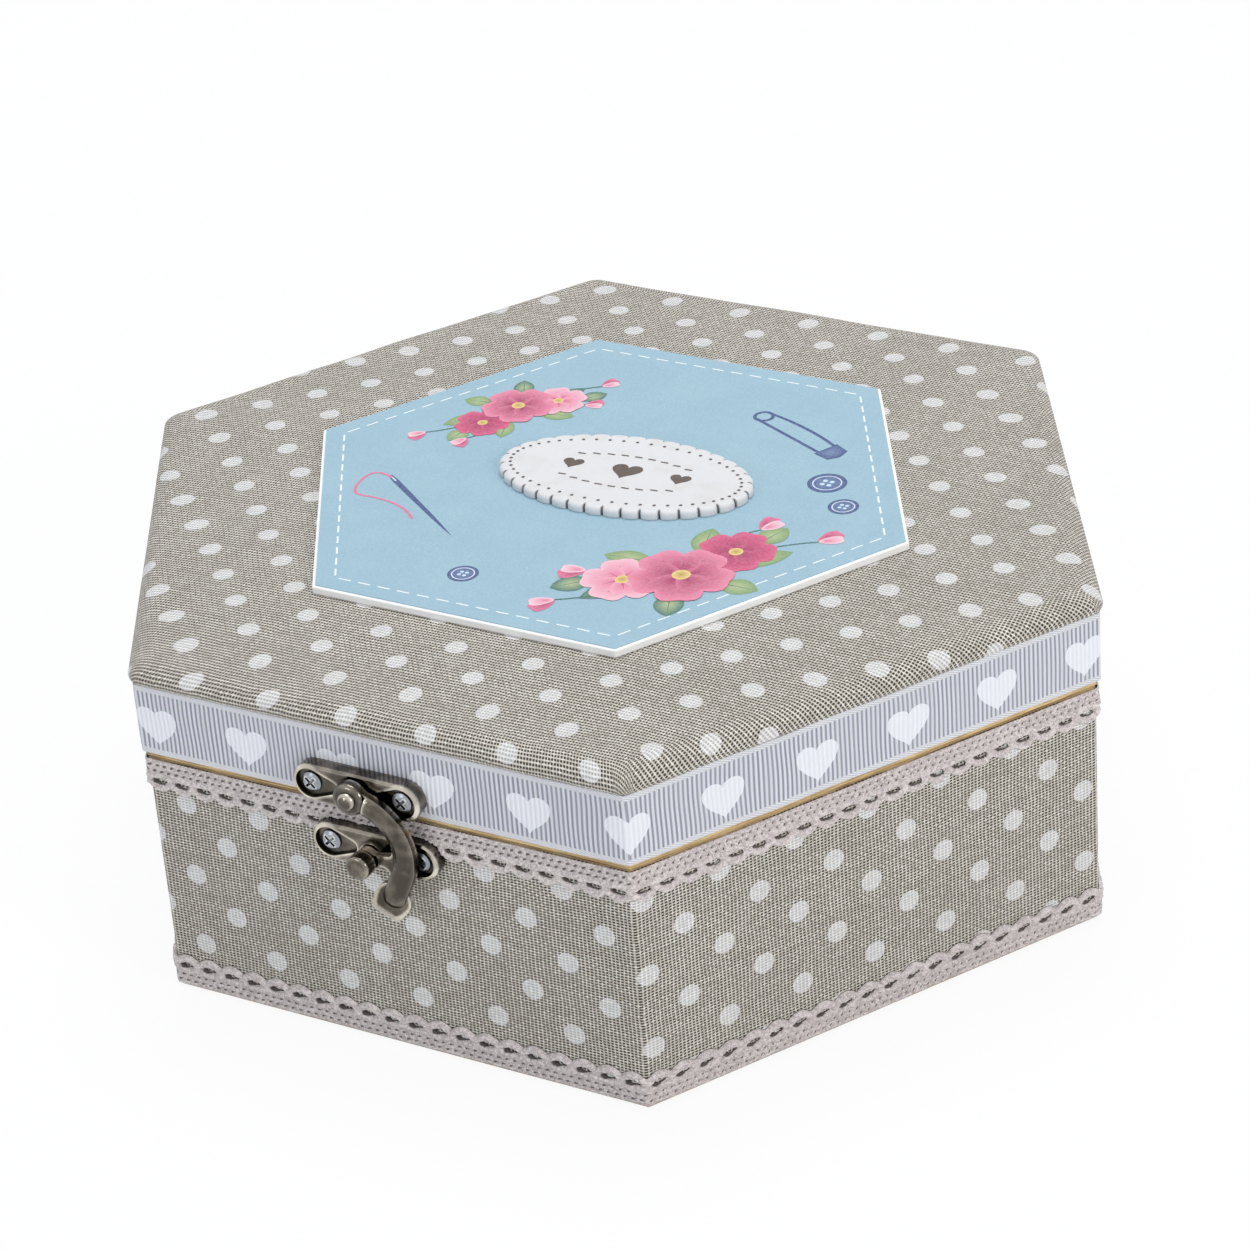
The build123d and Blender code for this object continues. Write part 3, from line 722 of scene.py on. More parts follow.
def lace_piece(name, node, straight_z, points_down, tiles, cut=None):
    """A lace band round the box, tile after tile."""
    total = tiles * LACE_COLUMNS
    length = 6 * side_length(cover_flat + MEAN_STAND)
    runs = (np.arange(total + 1) / total - 0.5) * length
    pitch = length / tiles
    picks = np.random.default_rng(21 + points_down)
    sway = np.interp(runs, np.linspace(runs[0], runs[-1], 90), picks.uniform(-1, 1, 90))
    share = np.linspace(0, 1, LACE_ROWS)
    run, part = np.meshgrid(runs, share, indexing="ij")
    # Every corner gets a bar, whether a side has an odd or an even number of tiles.
    slot_run = run + (0 if tiles // 6 % 2 else pitch / 2)
    edge = LACE_WIDTH - SCALLOP * (1 - np.abs(np.cos(slot_run / pitch * pi))) + 0.1 * sway[:, None]
    up = part * edge
    stand = lace_height(slot_run, up, pitch, edge) * (1 + 0.08 * smooth_noise(run, up, 4, 8))
    stand = np.clip(stand, 0.02, 1.1)
    hand = -1 if points_down else 1
    tile_run = slot_run / pitch * TILE
    lift = 0.1 * smooth_noise(run, 0 * run, 45, 13) * (1 - part)
    level = straight_z + hand * up + lift
    x, y, out_x, out_y = around(run * cover_flat / (cover_flat + MEAN_STAND), cover_flat, 1.2)
    points = stacked(x + out_x * stand, y + out_y * stand, level)
    quads = grid_faces(total + 1, LACE_ROWS)
    if points_down:
        quads = quads[:, ::-1]
    from_slot = (slot_run.ravel()[quads].mean(1) + pitch / 2) % pitch - pitch / 2
    middle_up = up.ravel()[quads].mean(1)
    hole = ((from_slot - 0.3) / 1.15) ** 2 + ((middle_up - 5.25 - 0.12 * from_slot) / 0.44) ** 2 < 1
    keep = ~hole
    if cut is not None:
        keep &= ~cut(points[:, 0][quads].mean(1), points[:, 1][quads].mean(1), points[:, 2][quads].mean(1))
    piece = new_piece(name, points, quads[keep], "box", stacked(tile_run, up, stand))
    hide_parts(node)
    return piece


catch_low, catch_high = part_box("catch_plate")
catch_x = (catch_low.x + catch_high.x) / 2 / MM
catch_z = (catch_low.z + catch_high.z) / 2 / MM
catch_half = (catch_high.x - catch_low.x) / 2 / MM
catch_radius = (catch_high.z - catch_low.z) / 2 / MM


def under_catch(x, y, z):
    """True where the catch plate sits on the linen, so that the lace is cut away."""
    beside = np.clip(np.abs(x - catch_x) - (catch_half - catch_radius), 0, None)
    return (y < 0) & (np.hypot(beside, z - catch_z) < catch_radius + 0.15)


upper_lace = lace_piece("lace_under_lid", "upper_lace", cover_high + 0.4, True, 126, under_catch)
lower_lace = lace_piece("lace_at_foot", "lower_lace", cover_low, False, 120)
print("lace:", len(upper_lace.data.polygons), "and", len(lower_lace.data.polygons), "faces")

# %% Lace material
cotton_yarn, tree, shader = new_material("cotton_yarn", Roughness=0.95, Specular_IOR_Level=0.1,
                                         Sheen_Weight=0.1)
place = cloth_place(tree)
run, up, stand = split(tree, place)
fuzz = cloudy(tree, place, 0.32, 3, 0.65)
clumps = cloudy(tree, join(tree, run, up * 1.3, 4.0), 0.62, 2, 0.6)
slanting = ((run * 2.4 + up * 1.1) * (2 * pi / 1.45)).wave()
level_rows = ((up - run * 0.25) * (2 * pi / 0.7)).wave()
stitches = slanting * level_rows * 0.5 + 0.5
bright = clumps.step(0.34, 0.62) * 0.5 + fuzz.step(0.3, 0.7) * 0.3 + stitches * 0.2
yarn = colour_mix(tree, bright, (0.42, 0.355, 0.345), (0.96, 0.88, 0.86))
patch = cloudy(tree, place, 8, 2).step(0.35, 0.7)
yarn = colour_mix(tree, patch * 0.25, yarn, (0.80, 0.70, 0.685))


def pin_holes(row, shift):
    """Small round gaps between the stitches of the tape, three to a tile."""
    aside = (run + (shift + 0.4)).within(TILE / 3)
    above = up - row
    return (aside * aside + above * above * 1.4).math("SQRT") + (fuzz - 0.5) * 0.25


pins = pin_holes(1.25, 0.0).math("MINIMUM", pin_holes(2.7, 0.9)).step(0.42, 0.2)
slot_x = (run.within(TILE) + 0.35) / 1.6
slot_y = (up - 5.2 - run.within(TILE) * 0.12) / 0.68
slot = (slot_x * slot_x + slot_y * slot_y).math("SQRT").step(1.12, 0.9)
# The low rims of the lace, the pin holes and the places round the slots are painted near black: painted shade.
lace_shade = stand.step(0.2, 0.05).math("MAXIMUM", pins * 0.8).math("MAXIMUM", slot * 0.9)
coat(tree, shader, colour_mix(tree, lace_shade, yarn, (0.075, 0.06, 0.055)), bright - lace_shade * 0.7, 0.26)
for lace in (upper_lace, lower_lace):
    finish_of(lace, cotton_yarn)
print("yarn on both bands of lace")

# %% [markdown]
# ## Wood
# The boards are thin fibreboard with an ochre edge. Only a thin band of it shows between the ribbon and the
# lace, and more when the lid is open. The layers of such a board lie flat, so the pattern is stretched level,
# and thin dark lines show on its upright edges alone.

# %% Fibreboard
fibreboard, tree, shader = new_material("fibreboard", Roughness=0.7, Specular_IOR_Level=0.25)
place = solid_place(tree)
x, y, z = split(tree, place)
node = tree.nodes.new("ShaderNodeTexCoord")
upright = split(tree, node.outputs["Normal"])[2].size().step(0.8, 0.4)
layers = cloudy(tree, join(tree, x * 0.2, y * 0.2, z * 1.6), 1.3, 4)
grain = cloudy(tree, join(tree, x * 0.04, y * 0.04, z * 2.6), 0.8, 3).step(0.52, 0.68) * upright
specks = cloudy(tree, place, 0.5, 3)
wood = colour_mix(tree, layers.step(0.25, 0.75), (0.50, 0.33, 0.15), (0.80, 0.60, 0.33))
wood = colour_mix(tree, specks.step(0.5, 0.8) * 0.4, wood, (0.34, 0.20, 0.09))
wood = colour_mix(tree, grain * 0.65, wood, (0.25, 0.14, 0.055))
coat(tree, shader, wood, layers + specks * 0.5 - grain, 0.12)
for name, node in nodes.items():
    side_board = name.startswith(("wall_", "rim_")) and not name.endswith("lining")
    if side_board or name in ("base_board", "lid_board"):
        finish_of(node, fibreboard)
print("fibreboard on the walls, the rim and the two boards")

# %% [markdown]
# ## Linings
# Inside, the box and the lid are lined with plain cotton. The linings are thin sheets like the linen, so they
# use the same helpers, with the face turned inwards.

# %% Cotton lining
cotton, tree, shader = new_material("cotton", Roughness=0.95, Specular_IOR_Level=0.1, Sheen_Weight=0.1)
place = cloth_place(tree)
weave = use_group(tree, "Plain weave", Cloth=place, Pitch_X=0.5, Pitch_Y=0.45)
thread = colour_mix(tree, weave["Tone"], (0.70, 0.65, 0.55), (0.86, 0.82, 0.74))
# The holes of the weave are painted darker: painted shade.
coat(tree, shader, colour_mix(tree, weave["Hole"] * 0.5, thread, (0.38, 0.34, 0.28)), weave["Height"], 0.08)


def lining_band(name, node, body, outer_flat):
    """A thin strip round the inside of the six sides."""
    low, high = levels_of(node)
    section = [(-0.02, high), (-0.02, low), (-0.5, low), (-0.6, low + 0.1)]
    section += [(-0.6, level) for level in np.linspace(low + 2, high - 2, 5)]
    section += [(-0.6, high - 0.1), (-0.5, high)]
    band = cloth_band(name, body, outer_flat, section[::-1], 0.4, 8, inside=True)
    finish_of(band, cotton)
    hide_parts(node)
    6 * side_length(outer_flat) * MM


def lining_disc(name, node, body, facing_down):
    """A flat lining cut to the hexagon, with a soft edge."""
    low, high = levels_of(node)
    flat = half_flat_of(node) - 0.05
    scale = runs_round(flat, 6, 0.5)[:-1] / side_length(flat)
    face, back = (low, high) if facing_down else (high, low)
    toward = 0.15 if facing_down else -0.15
    rings = [(share * flat, face) for share in (0.15, 0.4, 0.7, 0.99)] + [(flat, face + toward), (flat, back)]
    points, cloth = [(0, 0, face)], [(0, 0, 0)]
    for reach, level in rings:
        x, y, _, _ = around(scale * side_length(reach), reach, 0.5)
        points += list(zip(x, y, 0 * x + level))
        cloth += list(zip(x, y, 0 * x))
    count = len(scale)
    faces = fan_faces(count) + ring_faces(count, len(rings), start=1)
    faces.append([1 + (len(rings) - 1) * count + step for step in range(count)][::-1])
    if facing_down:
        faces = [face_points[::-1] for face_points in faces]
    disc = new_piece(name, points, faces, body, cloth)
    finish_of(disc, cotton)
    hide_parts(node)


lining_band("cotton_round_walls", "wall_lining", "box", half_flat_of("base_lining"))
lining_band("cotton_round_rim", "rim_lining", "lid", half_flat_of("lid_lining"))
lining_disc("cotton_on_floor", "base_lining", "box", False)
lining_disc("cotton_in_lid", "lid_lining", "lid", True)
print("four pieces of lining")

# %% [markdown]
# ## Metal
# The latch is cast metal with dark nickel plate, the screws are zinc and the hinges are nickel. All of them
# keep their solids from the model. A fine bevel rounds the edges. A shared group gives a film and small
# changes of roughness, because nothing plated is the same all over. Recesses get painted shade, and ridges are
# painted bright, partly as wear of the plate and partly as painted highlight.

# %% Plated metal as a group
tree, start, end = new_group("Plating", [("Place", "Vector", 0), ("Size", "Float", 3.0)],
                             ["Film", "Rough", "Scratch"])
node = tree.nodes.new("ShaderNodeVectorMath")
node.operation = "SCALE"
tree.links.new(start["Place"], node.inputs[0])
plug(tree, node.inputs["Scale"], Number(tree, start["Size"]).math("POWER", -1))
clouds = cloudy(tree, node.outputs[0], 1, 3)
fine = cloudy(tree, start["Place"], 0.25, 3)
x, y, z = split(tree, start["Place"])
lines = cloudy(tree, join(tree, x * 0.4, y * 4, z * 4), 0.9, 2)
plug(tree, end["Film"], clouds.step(0.3, 0.6))
plug(tree, end["Rough"], clouds * 0.6 + fine * 0.4)
plug(tree, end["Scratch"], lines)


def near_share(tree, reach, inside):
    """How open the surroundings are: from outside for hollows, or from inside for edges and corners."""
    node = tree.nodes.new("ShaderNodeAmbientOcclusion")
    node.samples = 8
    node.inside = inside
    node.inputs["Distance"].default_value = reach * MM
    return Number(tree, node.outputs["AO"])


def plated(name, bright, dark, roughness, hollow_shade, wear_and_highlight, ridge=0.4, film=0.5):
    """A plated metal with a film, painted shade in its recesses, and ridges this wide painted bright, partly as
    wear of the plate and partly as painted highlight."""
    material, tree, shader = new_material(name, Metallic=1.0)
    plating = use_group(tree, "Plating", Place=solid_place(tree), Size=4.5)
    colour = colour_mix(tree, plating["Film"] * film, bright, dark)
    rough = plating["Rough"] * 0.16 + roughness
    # Ridges painted bright: partly wear of the plate, partly painted highlight.
    edge = near_share(tree, ridge, True).step(0.93, 0.6) * (plating["Film"].inverse() * 0.4 + 0.6)
    colour = colour_mix(tree, edge, colour, wear_and_highlight)
    # Recesses painted near black by how closed in they are: painted shade.
    closed = near_share(tree, 1.8, False).step(0.95, 0.35)
    colour = colour_mix(tree, closed * hollow_shade, colour, tuple(part * 0.12 for part in dark))
    plug(tree, shader.inputs["Roughness"], rough)
    coat(tree, shader, colour, plating["Scratch"] + plating["Rough"] * 1.5, 0.03)
    return material


def fine_bevel(node, width):
    """Join the model's split corners and round its edges, without touching its points."""
    attributes = node.data.attributes
    if "custom_normal" in attributes:
        attributes.remove(attributes["custom_normal"])
    node.data.shade_smooth()
    weld = node.modifiers.new("weld", "WELD")
    weld.merge_threshold = 0.002 * MM
    bevel = node.modifiers.new("bevel", "BEVEL")
    bevel.width = width * MM
    bevel.segments = 2
    bevel.limit_method = "ANGLE"
    bevel.angle_limit = radians(30)
    bevel.harden_normals = True


# The last colour of each metal is for its ridges: wear of the plate and painted highlight.
NICKEL, FILM, WORN_AND_HIGHLIGHT = (0.25, 0.222, 0.188), (0.05, 0.042, 0.035), (0.74, 0.69, 0.60)
dark_nickel = plated("dark_nickel", NICKEL, FILM, 0.04, 0.95, WORN_AND_HIGHLIGHT, ridge=1.0, film=0.8)
rubbed_and_highlit_nickel = plated("rubbed_and_highlit_nickel", (0.18, 0.16, 0.132), FILM, 0.04, 0.95, WORN_AND_HIGHLIGHT, ridge=1.15, film=0.8)
zinc = plated("zinc", (0.42, 0.45, 0.49), (0.16, 0.17, 0.19), 0.2, 0.8, (0.80, 0.83, 0.86))
hinge_nickel = plated("hinge_nickel", (0.34, 0.31, 0.265), (0.15, 0.13, 0.11), 0.18, 0.7, (0.7, 0.66, 0.6))
for name in ("latch_plate", "catch_plate", "catch_post", "latch_rivet", "latch_hook"):
    finish_of(nodes[name], rubbed_and_highlit_nickel if name == "latch_hook" else dark_nickel)
    fine_bevel(nodes[name], 0.4)
for name in ("latch_screws", "catch_screws"):
    finish_of(nodes[name], zinc)
    fine_bevel(nodes[name], 0.07)
for name, node in nodes.items():
    if name.startswith("hinge_"):
        finish_of(node, hinge_nickel)
        fine_bevel(node, 0.1)
print("plated metal on the latch, the screws and the hinges")

# %% [markdown]
# ## The plaque
# The plaque is a thin board painted white, with a blue printed face inside a narrow white edge. A print is
# flat, so its motifs are thin shapes just above the face, each a hair higher than the last. Their corners
# carry the colours, which gives petals their soft shading.

# %% Board and blue face
white_paint, tree, shader = new_material("white_paint", Roughness=0.45, Specular_IOR_Level=0.4)
place = solid_place(tree)
brush = cloudy(tree, place, 1.5, 3)
grime = cloudy(tree, place, 6, 3).step(0.55, 0.8)
coat(tree, shader, colour_mix(tree, grime * 0.2, (0.92, 0.91, 0.90), (0.76, 0.74, 0.71)), brush, 0.05)
finish_of(nodes["plaque_board"], white_paint)
fine_bevel(nodes["plaque_board"], 0.35)

blue_print, tree, shader = new_material("blue_print", Roughness=0.6, Specular_IOR_Level=0.3)
place = solid_place(tree)
weave = use_group(tree, "Plain weave", Cloth=place, Pitch_X=0.55, Pitch_Y=0.55)
blue = colour_mix(tree, weave["Tone"] * 0.5 + weave["Hole"] * 0.3, (0.355, 0.52, 0.61), (0.29, 0.45, 0.55))
blotch = cloudy(tree, place, 14, 3).step(0.3, 0.75)
blue = colour_mix(tree, blotch * 0.35, blue, (0.40, 0.555, 0.64))
grain = cloudy(tree, place, 0.45, 2).step(0.35, 0.65)
coat(tree, shader, colour_mix(tree, grain * 0.22, blue, (0.22, 0.36, 0.45)), weave["Height"] + grain, 0.03)
finish_of(nodes["plaque_print"], blue_print)
print("plaque painted")


# %% Drawing flat shapes
HAIR = 0.002


def beside(middle, angle, run, aside=0.0):
    """The place this far from a middle in the direction of an angle, and this far to the left of it."""
    return (middle[0] + run * cos(angle) - aside * sin(angle),
            middle[1] + run * sin(angle) + aside * cos(angle))


class Drawing:
    """Flat shapes with a colour at every corner. The shapes of one motif are stacked a hair apart, and every
    new motif starts at the bottom again, so that the whole drawing stays thin."""

    def __init__(self, level):
        self.bottom = self.level = level
        self.points, self.faces, self.paint = [], [], []

    def new_motif(self):
        self.level = self.bottom

    def fan(self, middle, rim, middle_colour, rim_colour):
        """A closed shape round a middle."""
        first = len(self.points)
        self.points += [(*middle, self.level)] + [(*place, self.level) for place in rim]
        self.paint += [middle_colour] + [rim_colour] * len(rim)
        count = len(rim)
        self.faces += [[first + corner for corner in face] for face in fan_faces(count)]
        self.level += HAIR

    def stroke(self, line, widths, colour):
        """A line whose width may change along it."""
        first = len(self.points)
        for index, (x, y) in enumerate(line):
            before, after = line[max(index - 1, 0)], line[min(index + 1, len(line) - 1)]
            run = hypot(after[0] - before[0], after[1] - before[1]) or 1
            aside = (before[1] - after[1]) / run, (after[0] - before[0]) / run
            half = widths[index] / 2 if hasattr(widths, "__len__") else widths / 2
            self.points.append((x + aside[0] * half, y + aside[1] * half, self.level))
            self.points.append((x - aside[0] * half, y - aside[1] * half, self.level))
            self.paint += [colour, colour]
        self.faces += [[first + 2 * step, first + 2 * step + 1, first + 2 * step + 3, first + 2 * step + 2]
                       for step in range(len(line) - 1)]
        self.level += HAIR

    def done(self, name, body, slot, material):
        """Make one piece of all the shapes, with their colours in a layer for the material."""
        piece = new_piece(name, self.points, self.faces, body, smooth=False)
        layer = piece.data.attributes.new("paint", "FLOAT_COLOR", "POINT")
        layer.data.foreach_set("color", np.array([(*colour, 1) for colour in self.paint], np.float32).ravel())
        flat_up(piece)
        finish_of(piece, material)
        return piece


def flat_up(piece):
    """Turn every face of a flat drawing upwards."""
    for face in piece.data.polygons:
        if face.normal.z < 0:
            face.flip()


def ring_line(middle, radius, count):
    """A circle whose last place is the first one again."""
    return [beside(middle, 2 * pi * step / count, radius) for step in range(count + 1)]


def curve(*corners, count=24):
    """A smooth line that starts and ends at the outer corners and bends towards the ones between."""
    points = []
    for step in range(count + 1):
        share = step / count
        layer = [Vector(corner) for corner in corners]
        while len(layer) > 1:
            layer = [one.lerp(two, share) for one, two in zip(layer, layer[1:])]
        points.append(tuple(layer[0]))
    return points


# %% Stitch line round the plaque
printed_colours, tree, shader = new_material("printed_colours", Roughness=0.55, Specular_IOR_Level=0.3)
node = tree.nodes.new("ShaderNodeAttribute")
node.attribute_name = "paint"
mottle = cloudy(tree, solid_place(tree), 0.7, 3).step(0.3, 0.75) * 0.12
plug(tree, shader.inputs["Base Color"], colour_mix(tree, mottle, node.outputs["Color"], (0.62, 0.72, 0.76)))

face_z = levels_of("plaque_print")[1]
stitches = Drawing(face_z + 0.02)


def stitch_round(drawing, flat, pitch, length, width, colour):
    """Dashes along a hexagon."""
    side = side_length(flat)
    count = round(side / pitch)
    for number in range(6 * count):
        middle = (number % count + 0.5) * side / count - side / 2 + (number // count) * side
        ends = np.array([middle - length / 2, middle + length / 2])
        x, y, _, _ = around(ends, flat, 0.01)
        drawing.new_motif()
        drawing.stroke(list(zip(x, y)), width, colour)


stitch_round(stitches, plaque_flat - 4.9, 4.7, 3.0, 0.42, (0.80, 0.88, 0.90))
stitches.done("plaque_stitches", "lid", "blue_print", printed_colours)
print("stitches:", len(stitches.faces))

# %% [markdown]
# The motifs are open blossoms with five petals, leaves and buds, a needle with its thread, a safety pin and a
# few buttons, in pinks, greens and dark blue.

# %% Blossoms, leaves and buds
ROSE, DEEP_ROSE, PALE_ROSE = (0.72, 0.17, 0.30), (0.36, 0.03, 0.11), (0.87, 0.60, 0.66)
LEAF, DARK_LEAF, PALE_LEAF = (0.20, 0.32, 0.13), (0.05, 0.16, 0.13), (0.43, 0.49, 0.25)
NAVY, SOFT_NAVY, STRAW = (0.045, 0.075, 0.21), (0.16, 0.22, 0.40), (0.80, 0.62, 0.22)
motifs = Drawing(face_z + 0.04)


def petal(drawing, middle, angle, length, width, inner, outer):
    """A petal or a bud, widest towards its tip, with a small notch there."""
    rim = []
    for step in range(20):
        turn = 2 * pi * step / 20
        reach = length * (0.5 - 0.5 * cos(turn))
        aside = width / 2 * sin(turn) * (0.62 + 0.5 * reach / length)
        notch = 0.10 * length * max(0, cos(turn - pi)) ** 12
        rim.append(beside(middle, angle, reach - notch, aside))
    drawing.fan(beside(middle, angle, 0.25 * length), rim, inner, outer)


def blossom(drawing, middle, radius, turn, inner, outer):
    """Five petals with veins, and a straw-coloured eye."""
    for layer, (size, dark) in enumerate(((1.0, 0.0), (0.72, 0.35))):
        for number in range(5):
            angle = turn + layer * 0.6 + 2 * pi * number / 5
            rim = tuple(one * (1 - dark) + two * dark for one, two in zip(outer, inner))
            petal(drawing, middle, angle, radius * size, radius * size * 0.95, inner, rim)
            drawing.stroke([middle, beside(middle, angle, 0.62 * radius * size)], [0.3, 0.08], DEEP_ROSE)
    drawing.fan(middle, ring_line(middle, radius * 0.17, 14)[:-1], (0.45, 0.28, 0.06), STRAW)


def leaf(drawing, middle, angle, length, width, colour):
    """A pointed leaf with a dark vein."""
    rim = []
    for side, shares in ((1, np.linspace(0, 1, 9)), (-1, np.linspace(1, 0, 9))):
        for share in shares[:-1]:
            rim.append(beside(middle, angle, share * length, side * width / 2 * sin(pi * share) ** 0.8))
    drawing.fan(beside(middle, angle, 0.5 * length), rim, PALE_LEAF, colour)
    drawing.stroke([middle, beside(middle, angle, 0.9 * length)], [0.35, 0.1], DARK_LEAF)


def spray(drawing, distance, size, turn):
    """A bunch between the label and the edge: leaves and buds behind, three blossoms in front."""
    middle = beside((0, 0), turn, distance)
    drawing.new_motif()

    def at(reach, angle):
        return beside(middle, turn + angle, size * reach)

    for reach, angle, length in ((0.6, 0.5, 0.6), (0.6, 1.3, 0.95), (0.5, 2.3, 0.75), (0.5, 3.7, 0.75),
                                 (0.6, 4.6, 0.95), (0.6, 5.6, 0.65), (1.2, 1.75, 0.6), (1.25, 4.4, 0.6)):
        shade = LEAF if int(angle * 10) % 2 else DARK_LEAF
        leaf(drawing, at(reach, angle), turn + angle + 0.2, size * length, size * 0.42, shade)
    for reach, angle in ((1.95, 1.5), (1.5, 1.95), (1.85, 4.65), (1.35, 4.2)):
        drawing.stroke(curve(at(0.5, angle), at(1.2, angle + 0.2), at(reach, angle)), 0.4, DARK_LEAF)
        petal(drawing, at(reach, angle), turn + angle + 0.3, size * 0.42, size * 0.3, DEEP_ROSE, ROSE)
        petal(drawing, at(reach, angle), turn + angle - 0.2, size * 0.38, size * 0.24, ROSE, PALE_ROSE)
    blossom(drawing, at(0.85, 1.75), size * 0.6, 0.3, DEEP_ROSE, (0.66, 0.10, 0.22))
    blossom(drawing, at(0.85, 4.5), size * 0.62, 0.9, ROSE, (0.86, 0.50, 0.58))
    blossom(drawing, at(0.12, 5.6), size * 0.78, 0.1, DEEP_ROSE, (0.78, 0.24, 0.36))


spray(motifs, 45.0, 15.5, radians(320))
spray(motifs, 44.0, 11.5, radians(146))
print("blossoms:", len(motifs.faces), "faces so far")


# %% Needle, safety pin and buttons
def button(drawing, middle, radius):
    drawing.new_motif()
    drawing.fan(middle, ring_line(middle, radius, 28)[:-1], SOFT_NAVY, NAVY)
    drawing.stroke(ring_line(middle, radius * 0.72, 28), 0.3, (0.62, 0.70, 0.80))
    for corner in range(4):
        hole = beside(middle, pi / 4 + corner * pi / 2, radius * 0.26)
        drawing.fan(hole, ring_line(hole, radius * 0.13, 10)[:-1], (0.55, 0.70, 0.80), (0.55, 0.70, 0.80))


def needle_and_thread(drawing, eye, angle, length):
    widths = [0.9, 1.4, 1.35, 1.3, 1.2, 1.1, 1.0, 0.9, 0.7, 0.4, 0.1]
    drawing.new_motif()
    drawing.stroke(curve(eye, beside(eye, angle, length), count=10), widths, NAVY)
    drawing.stroke([beside(eye, angle, 0.8), beside(eye, angle, 3.2)], 0.45, (0.50, 0.66, 0.76))
    x, y = beside(eye, angle, 1.2)
    bends = ((0, 0), (-14, 6), (2, -16), (-12, -12), (4, -4), (14, -15))
    drawing.stroke(curve(*((x + right, y + up) for right, up in bends), count=48), 0.6, ROSE)


def safety_pin(drawing, middle, angle, length):
    def at(run, aside):
        return beside(middle, angle, run, aside)

    half = length / 2
    drawing.new_motif()
    drawing.stroke(curve(at(-half, -1.9), at(half, -1.9), count=6), 0.8, NAVY)
    drawing.stroke(curve(at(-half, 2.0), at(0, 4.2), at(half, 2.3)), 0.8, NAVY)
    drawing.stroke(ring_line(at(-half, 0), 2.1, 24), 0.8, NAVY)
    cap = [at(half + run, aside) for run, aside in ((-2, -3.0), (2.3, -2.6), (3.3, 0), (2.3, 3.1), (-2, 3.5))]
    drawing.fan(at(half, 0), cap, SOFT_NAVY, NAVY)


needle_and_thread(motifs, (-47.0, -14.0), -0.62, 33)
safety_pin(motifs, (29, 36), -0.45, 24)
button(motifs, (45.5, 17.5), 4.4)
button(motifs, (53.5, 9.0), 3.4)
button(motifs, (-9, -47), 3.4)
motifs.done("plaque_motifs", "lid", "blue_print", printed_colours)
print("motifs:", len(motifs.faces), "faces")

# %% [markdown]
# ## The oval label
# The label is a thick white oval with a beaded edge: every scallop is rounded over at the top like a bead.
# The outline is an ellipse pushed out by half circles. Small dark dots run round its border, with hearts and
# rows of stitches inside.

# %% Label body
label_low, label_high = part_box("oval_label")
SCALLOPS, BEAD_POINTS = 34, 12
LABEL_LENGTH, LABEL_WIDTH, BEAD = 30.0, 17.1, 0.9
label_middle = ((label_low.x + label_high.x) / 2 / MM, (label_low.y + label_high.y) / 2 / MM)
label_turn = radians(3)


def label_outline(grow):
    """The outline, moved outwards by this many millimetres, in even steps along the ellipse."""
    fine = np.linspace(0, 2 * pi, 3601)
    x, y = (LABEL_LENGTH - BEAD) * np.cos(fine), (LABEL_WIDTH - BEAD) * np.sin(fine)
    used = np.concatenate([[0], np.cumsum(np.hypot(np.diff(x), np.diff(y)))])
    total = SCALLOPS * BEAD_POINTS
    angle = np.interp(np.arange(total) / total * used[-1], used, fine)
    out_x, out_y = (LABEL_WIDTH - BEAD) * np.cos(angle), (LABEL_LENGTH - BEAD) * np.sin(angle)
    size = np.hypot(out_x, out_y)
    bead = BEAD * np.abs(np.sin(np.arange(total) * pi / BEAD_POINTS)) ** 0.42 * (1 + 0.35 * grow) + grow
    x = (LABEL_LENGTH - BEAD) * np.cos(angle) + bead * out_x / size
    y = (LABEL_WIDTH - BEAD) * np.sin(angle) + bead * out_y / size
    return x, y


def on_label(x, y):
    return beside(label_middle, label_turn, x, y)


low_z, high_z = levels_of("oval_label")
half_bead = BEAD_POINTS // 2
ROUND_DEEP, ROUND_HIGH = 0.8, 0.9
rings = [(-0.1, low_z), (0, low_z + 0.1), (0, high_z - ROUND_HIGH)]
for step in range(1, 6):
    turn = radians(90 * step / 5)
    rings.append((-ROUND_DEEP * (1 - cos(turn)), high_z - ROUND_HIGH + ROUND_HIGH * sin(turn)))
rings.append((-1.5, high_z - 0.05))
points, beads = [], []
for grow, level in rings:
    x, y = on_label(*label_outline(grow))
    points += list(zip(x, y, 0 * x + level))
    from_notch = np.abs((np.arange(len(x)) + half_bead) % BEAD_POINTS - half_bead) * 0.37
    beads += list(zip(from_notch, 0 * x - grow, 0 * x + level))
count = SCALLOPS * BEAD_POINTS
faces = ring_faces(count, len(rings), turned=True)
faces += [[(len(rings) - 1) * count + step for step in range(count)], list(range(count))[::-1]]
label = new_piece("oval_label_board", points, faces, "lid", beads)
label_white, tree, shader = new_material("label_white", Roughness=0.5, Specular_IOR_Level=0.35)
place = solid_place(tree)
grime = cloudy(tree, place, 5, 3).step(0.45, 0.8)
white = colour_mix(tree, grime * 0.4, (0.70, 0.69, 0.70), (0.58, 0.555, 0.53))
from_notch, inward, _ = split(tree, cloth_place(tree))
# Dark lines in the notches between the beads, on the upright edge: painted shade.
notch = from_notch.step(0.5, 0.1) * inward.step(0.95, 0.2)
brush = cloudy(tree, place, 1.2, 3)
coat(tree, shader, colour_mix(tree, notch * 0.9, white, (0.05, 0.04, 0.04)), brush, 0.06)
finish_of(label, label_white)
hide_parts("oval_label")
print("label:", len(faces), "faces")

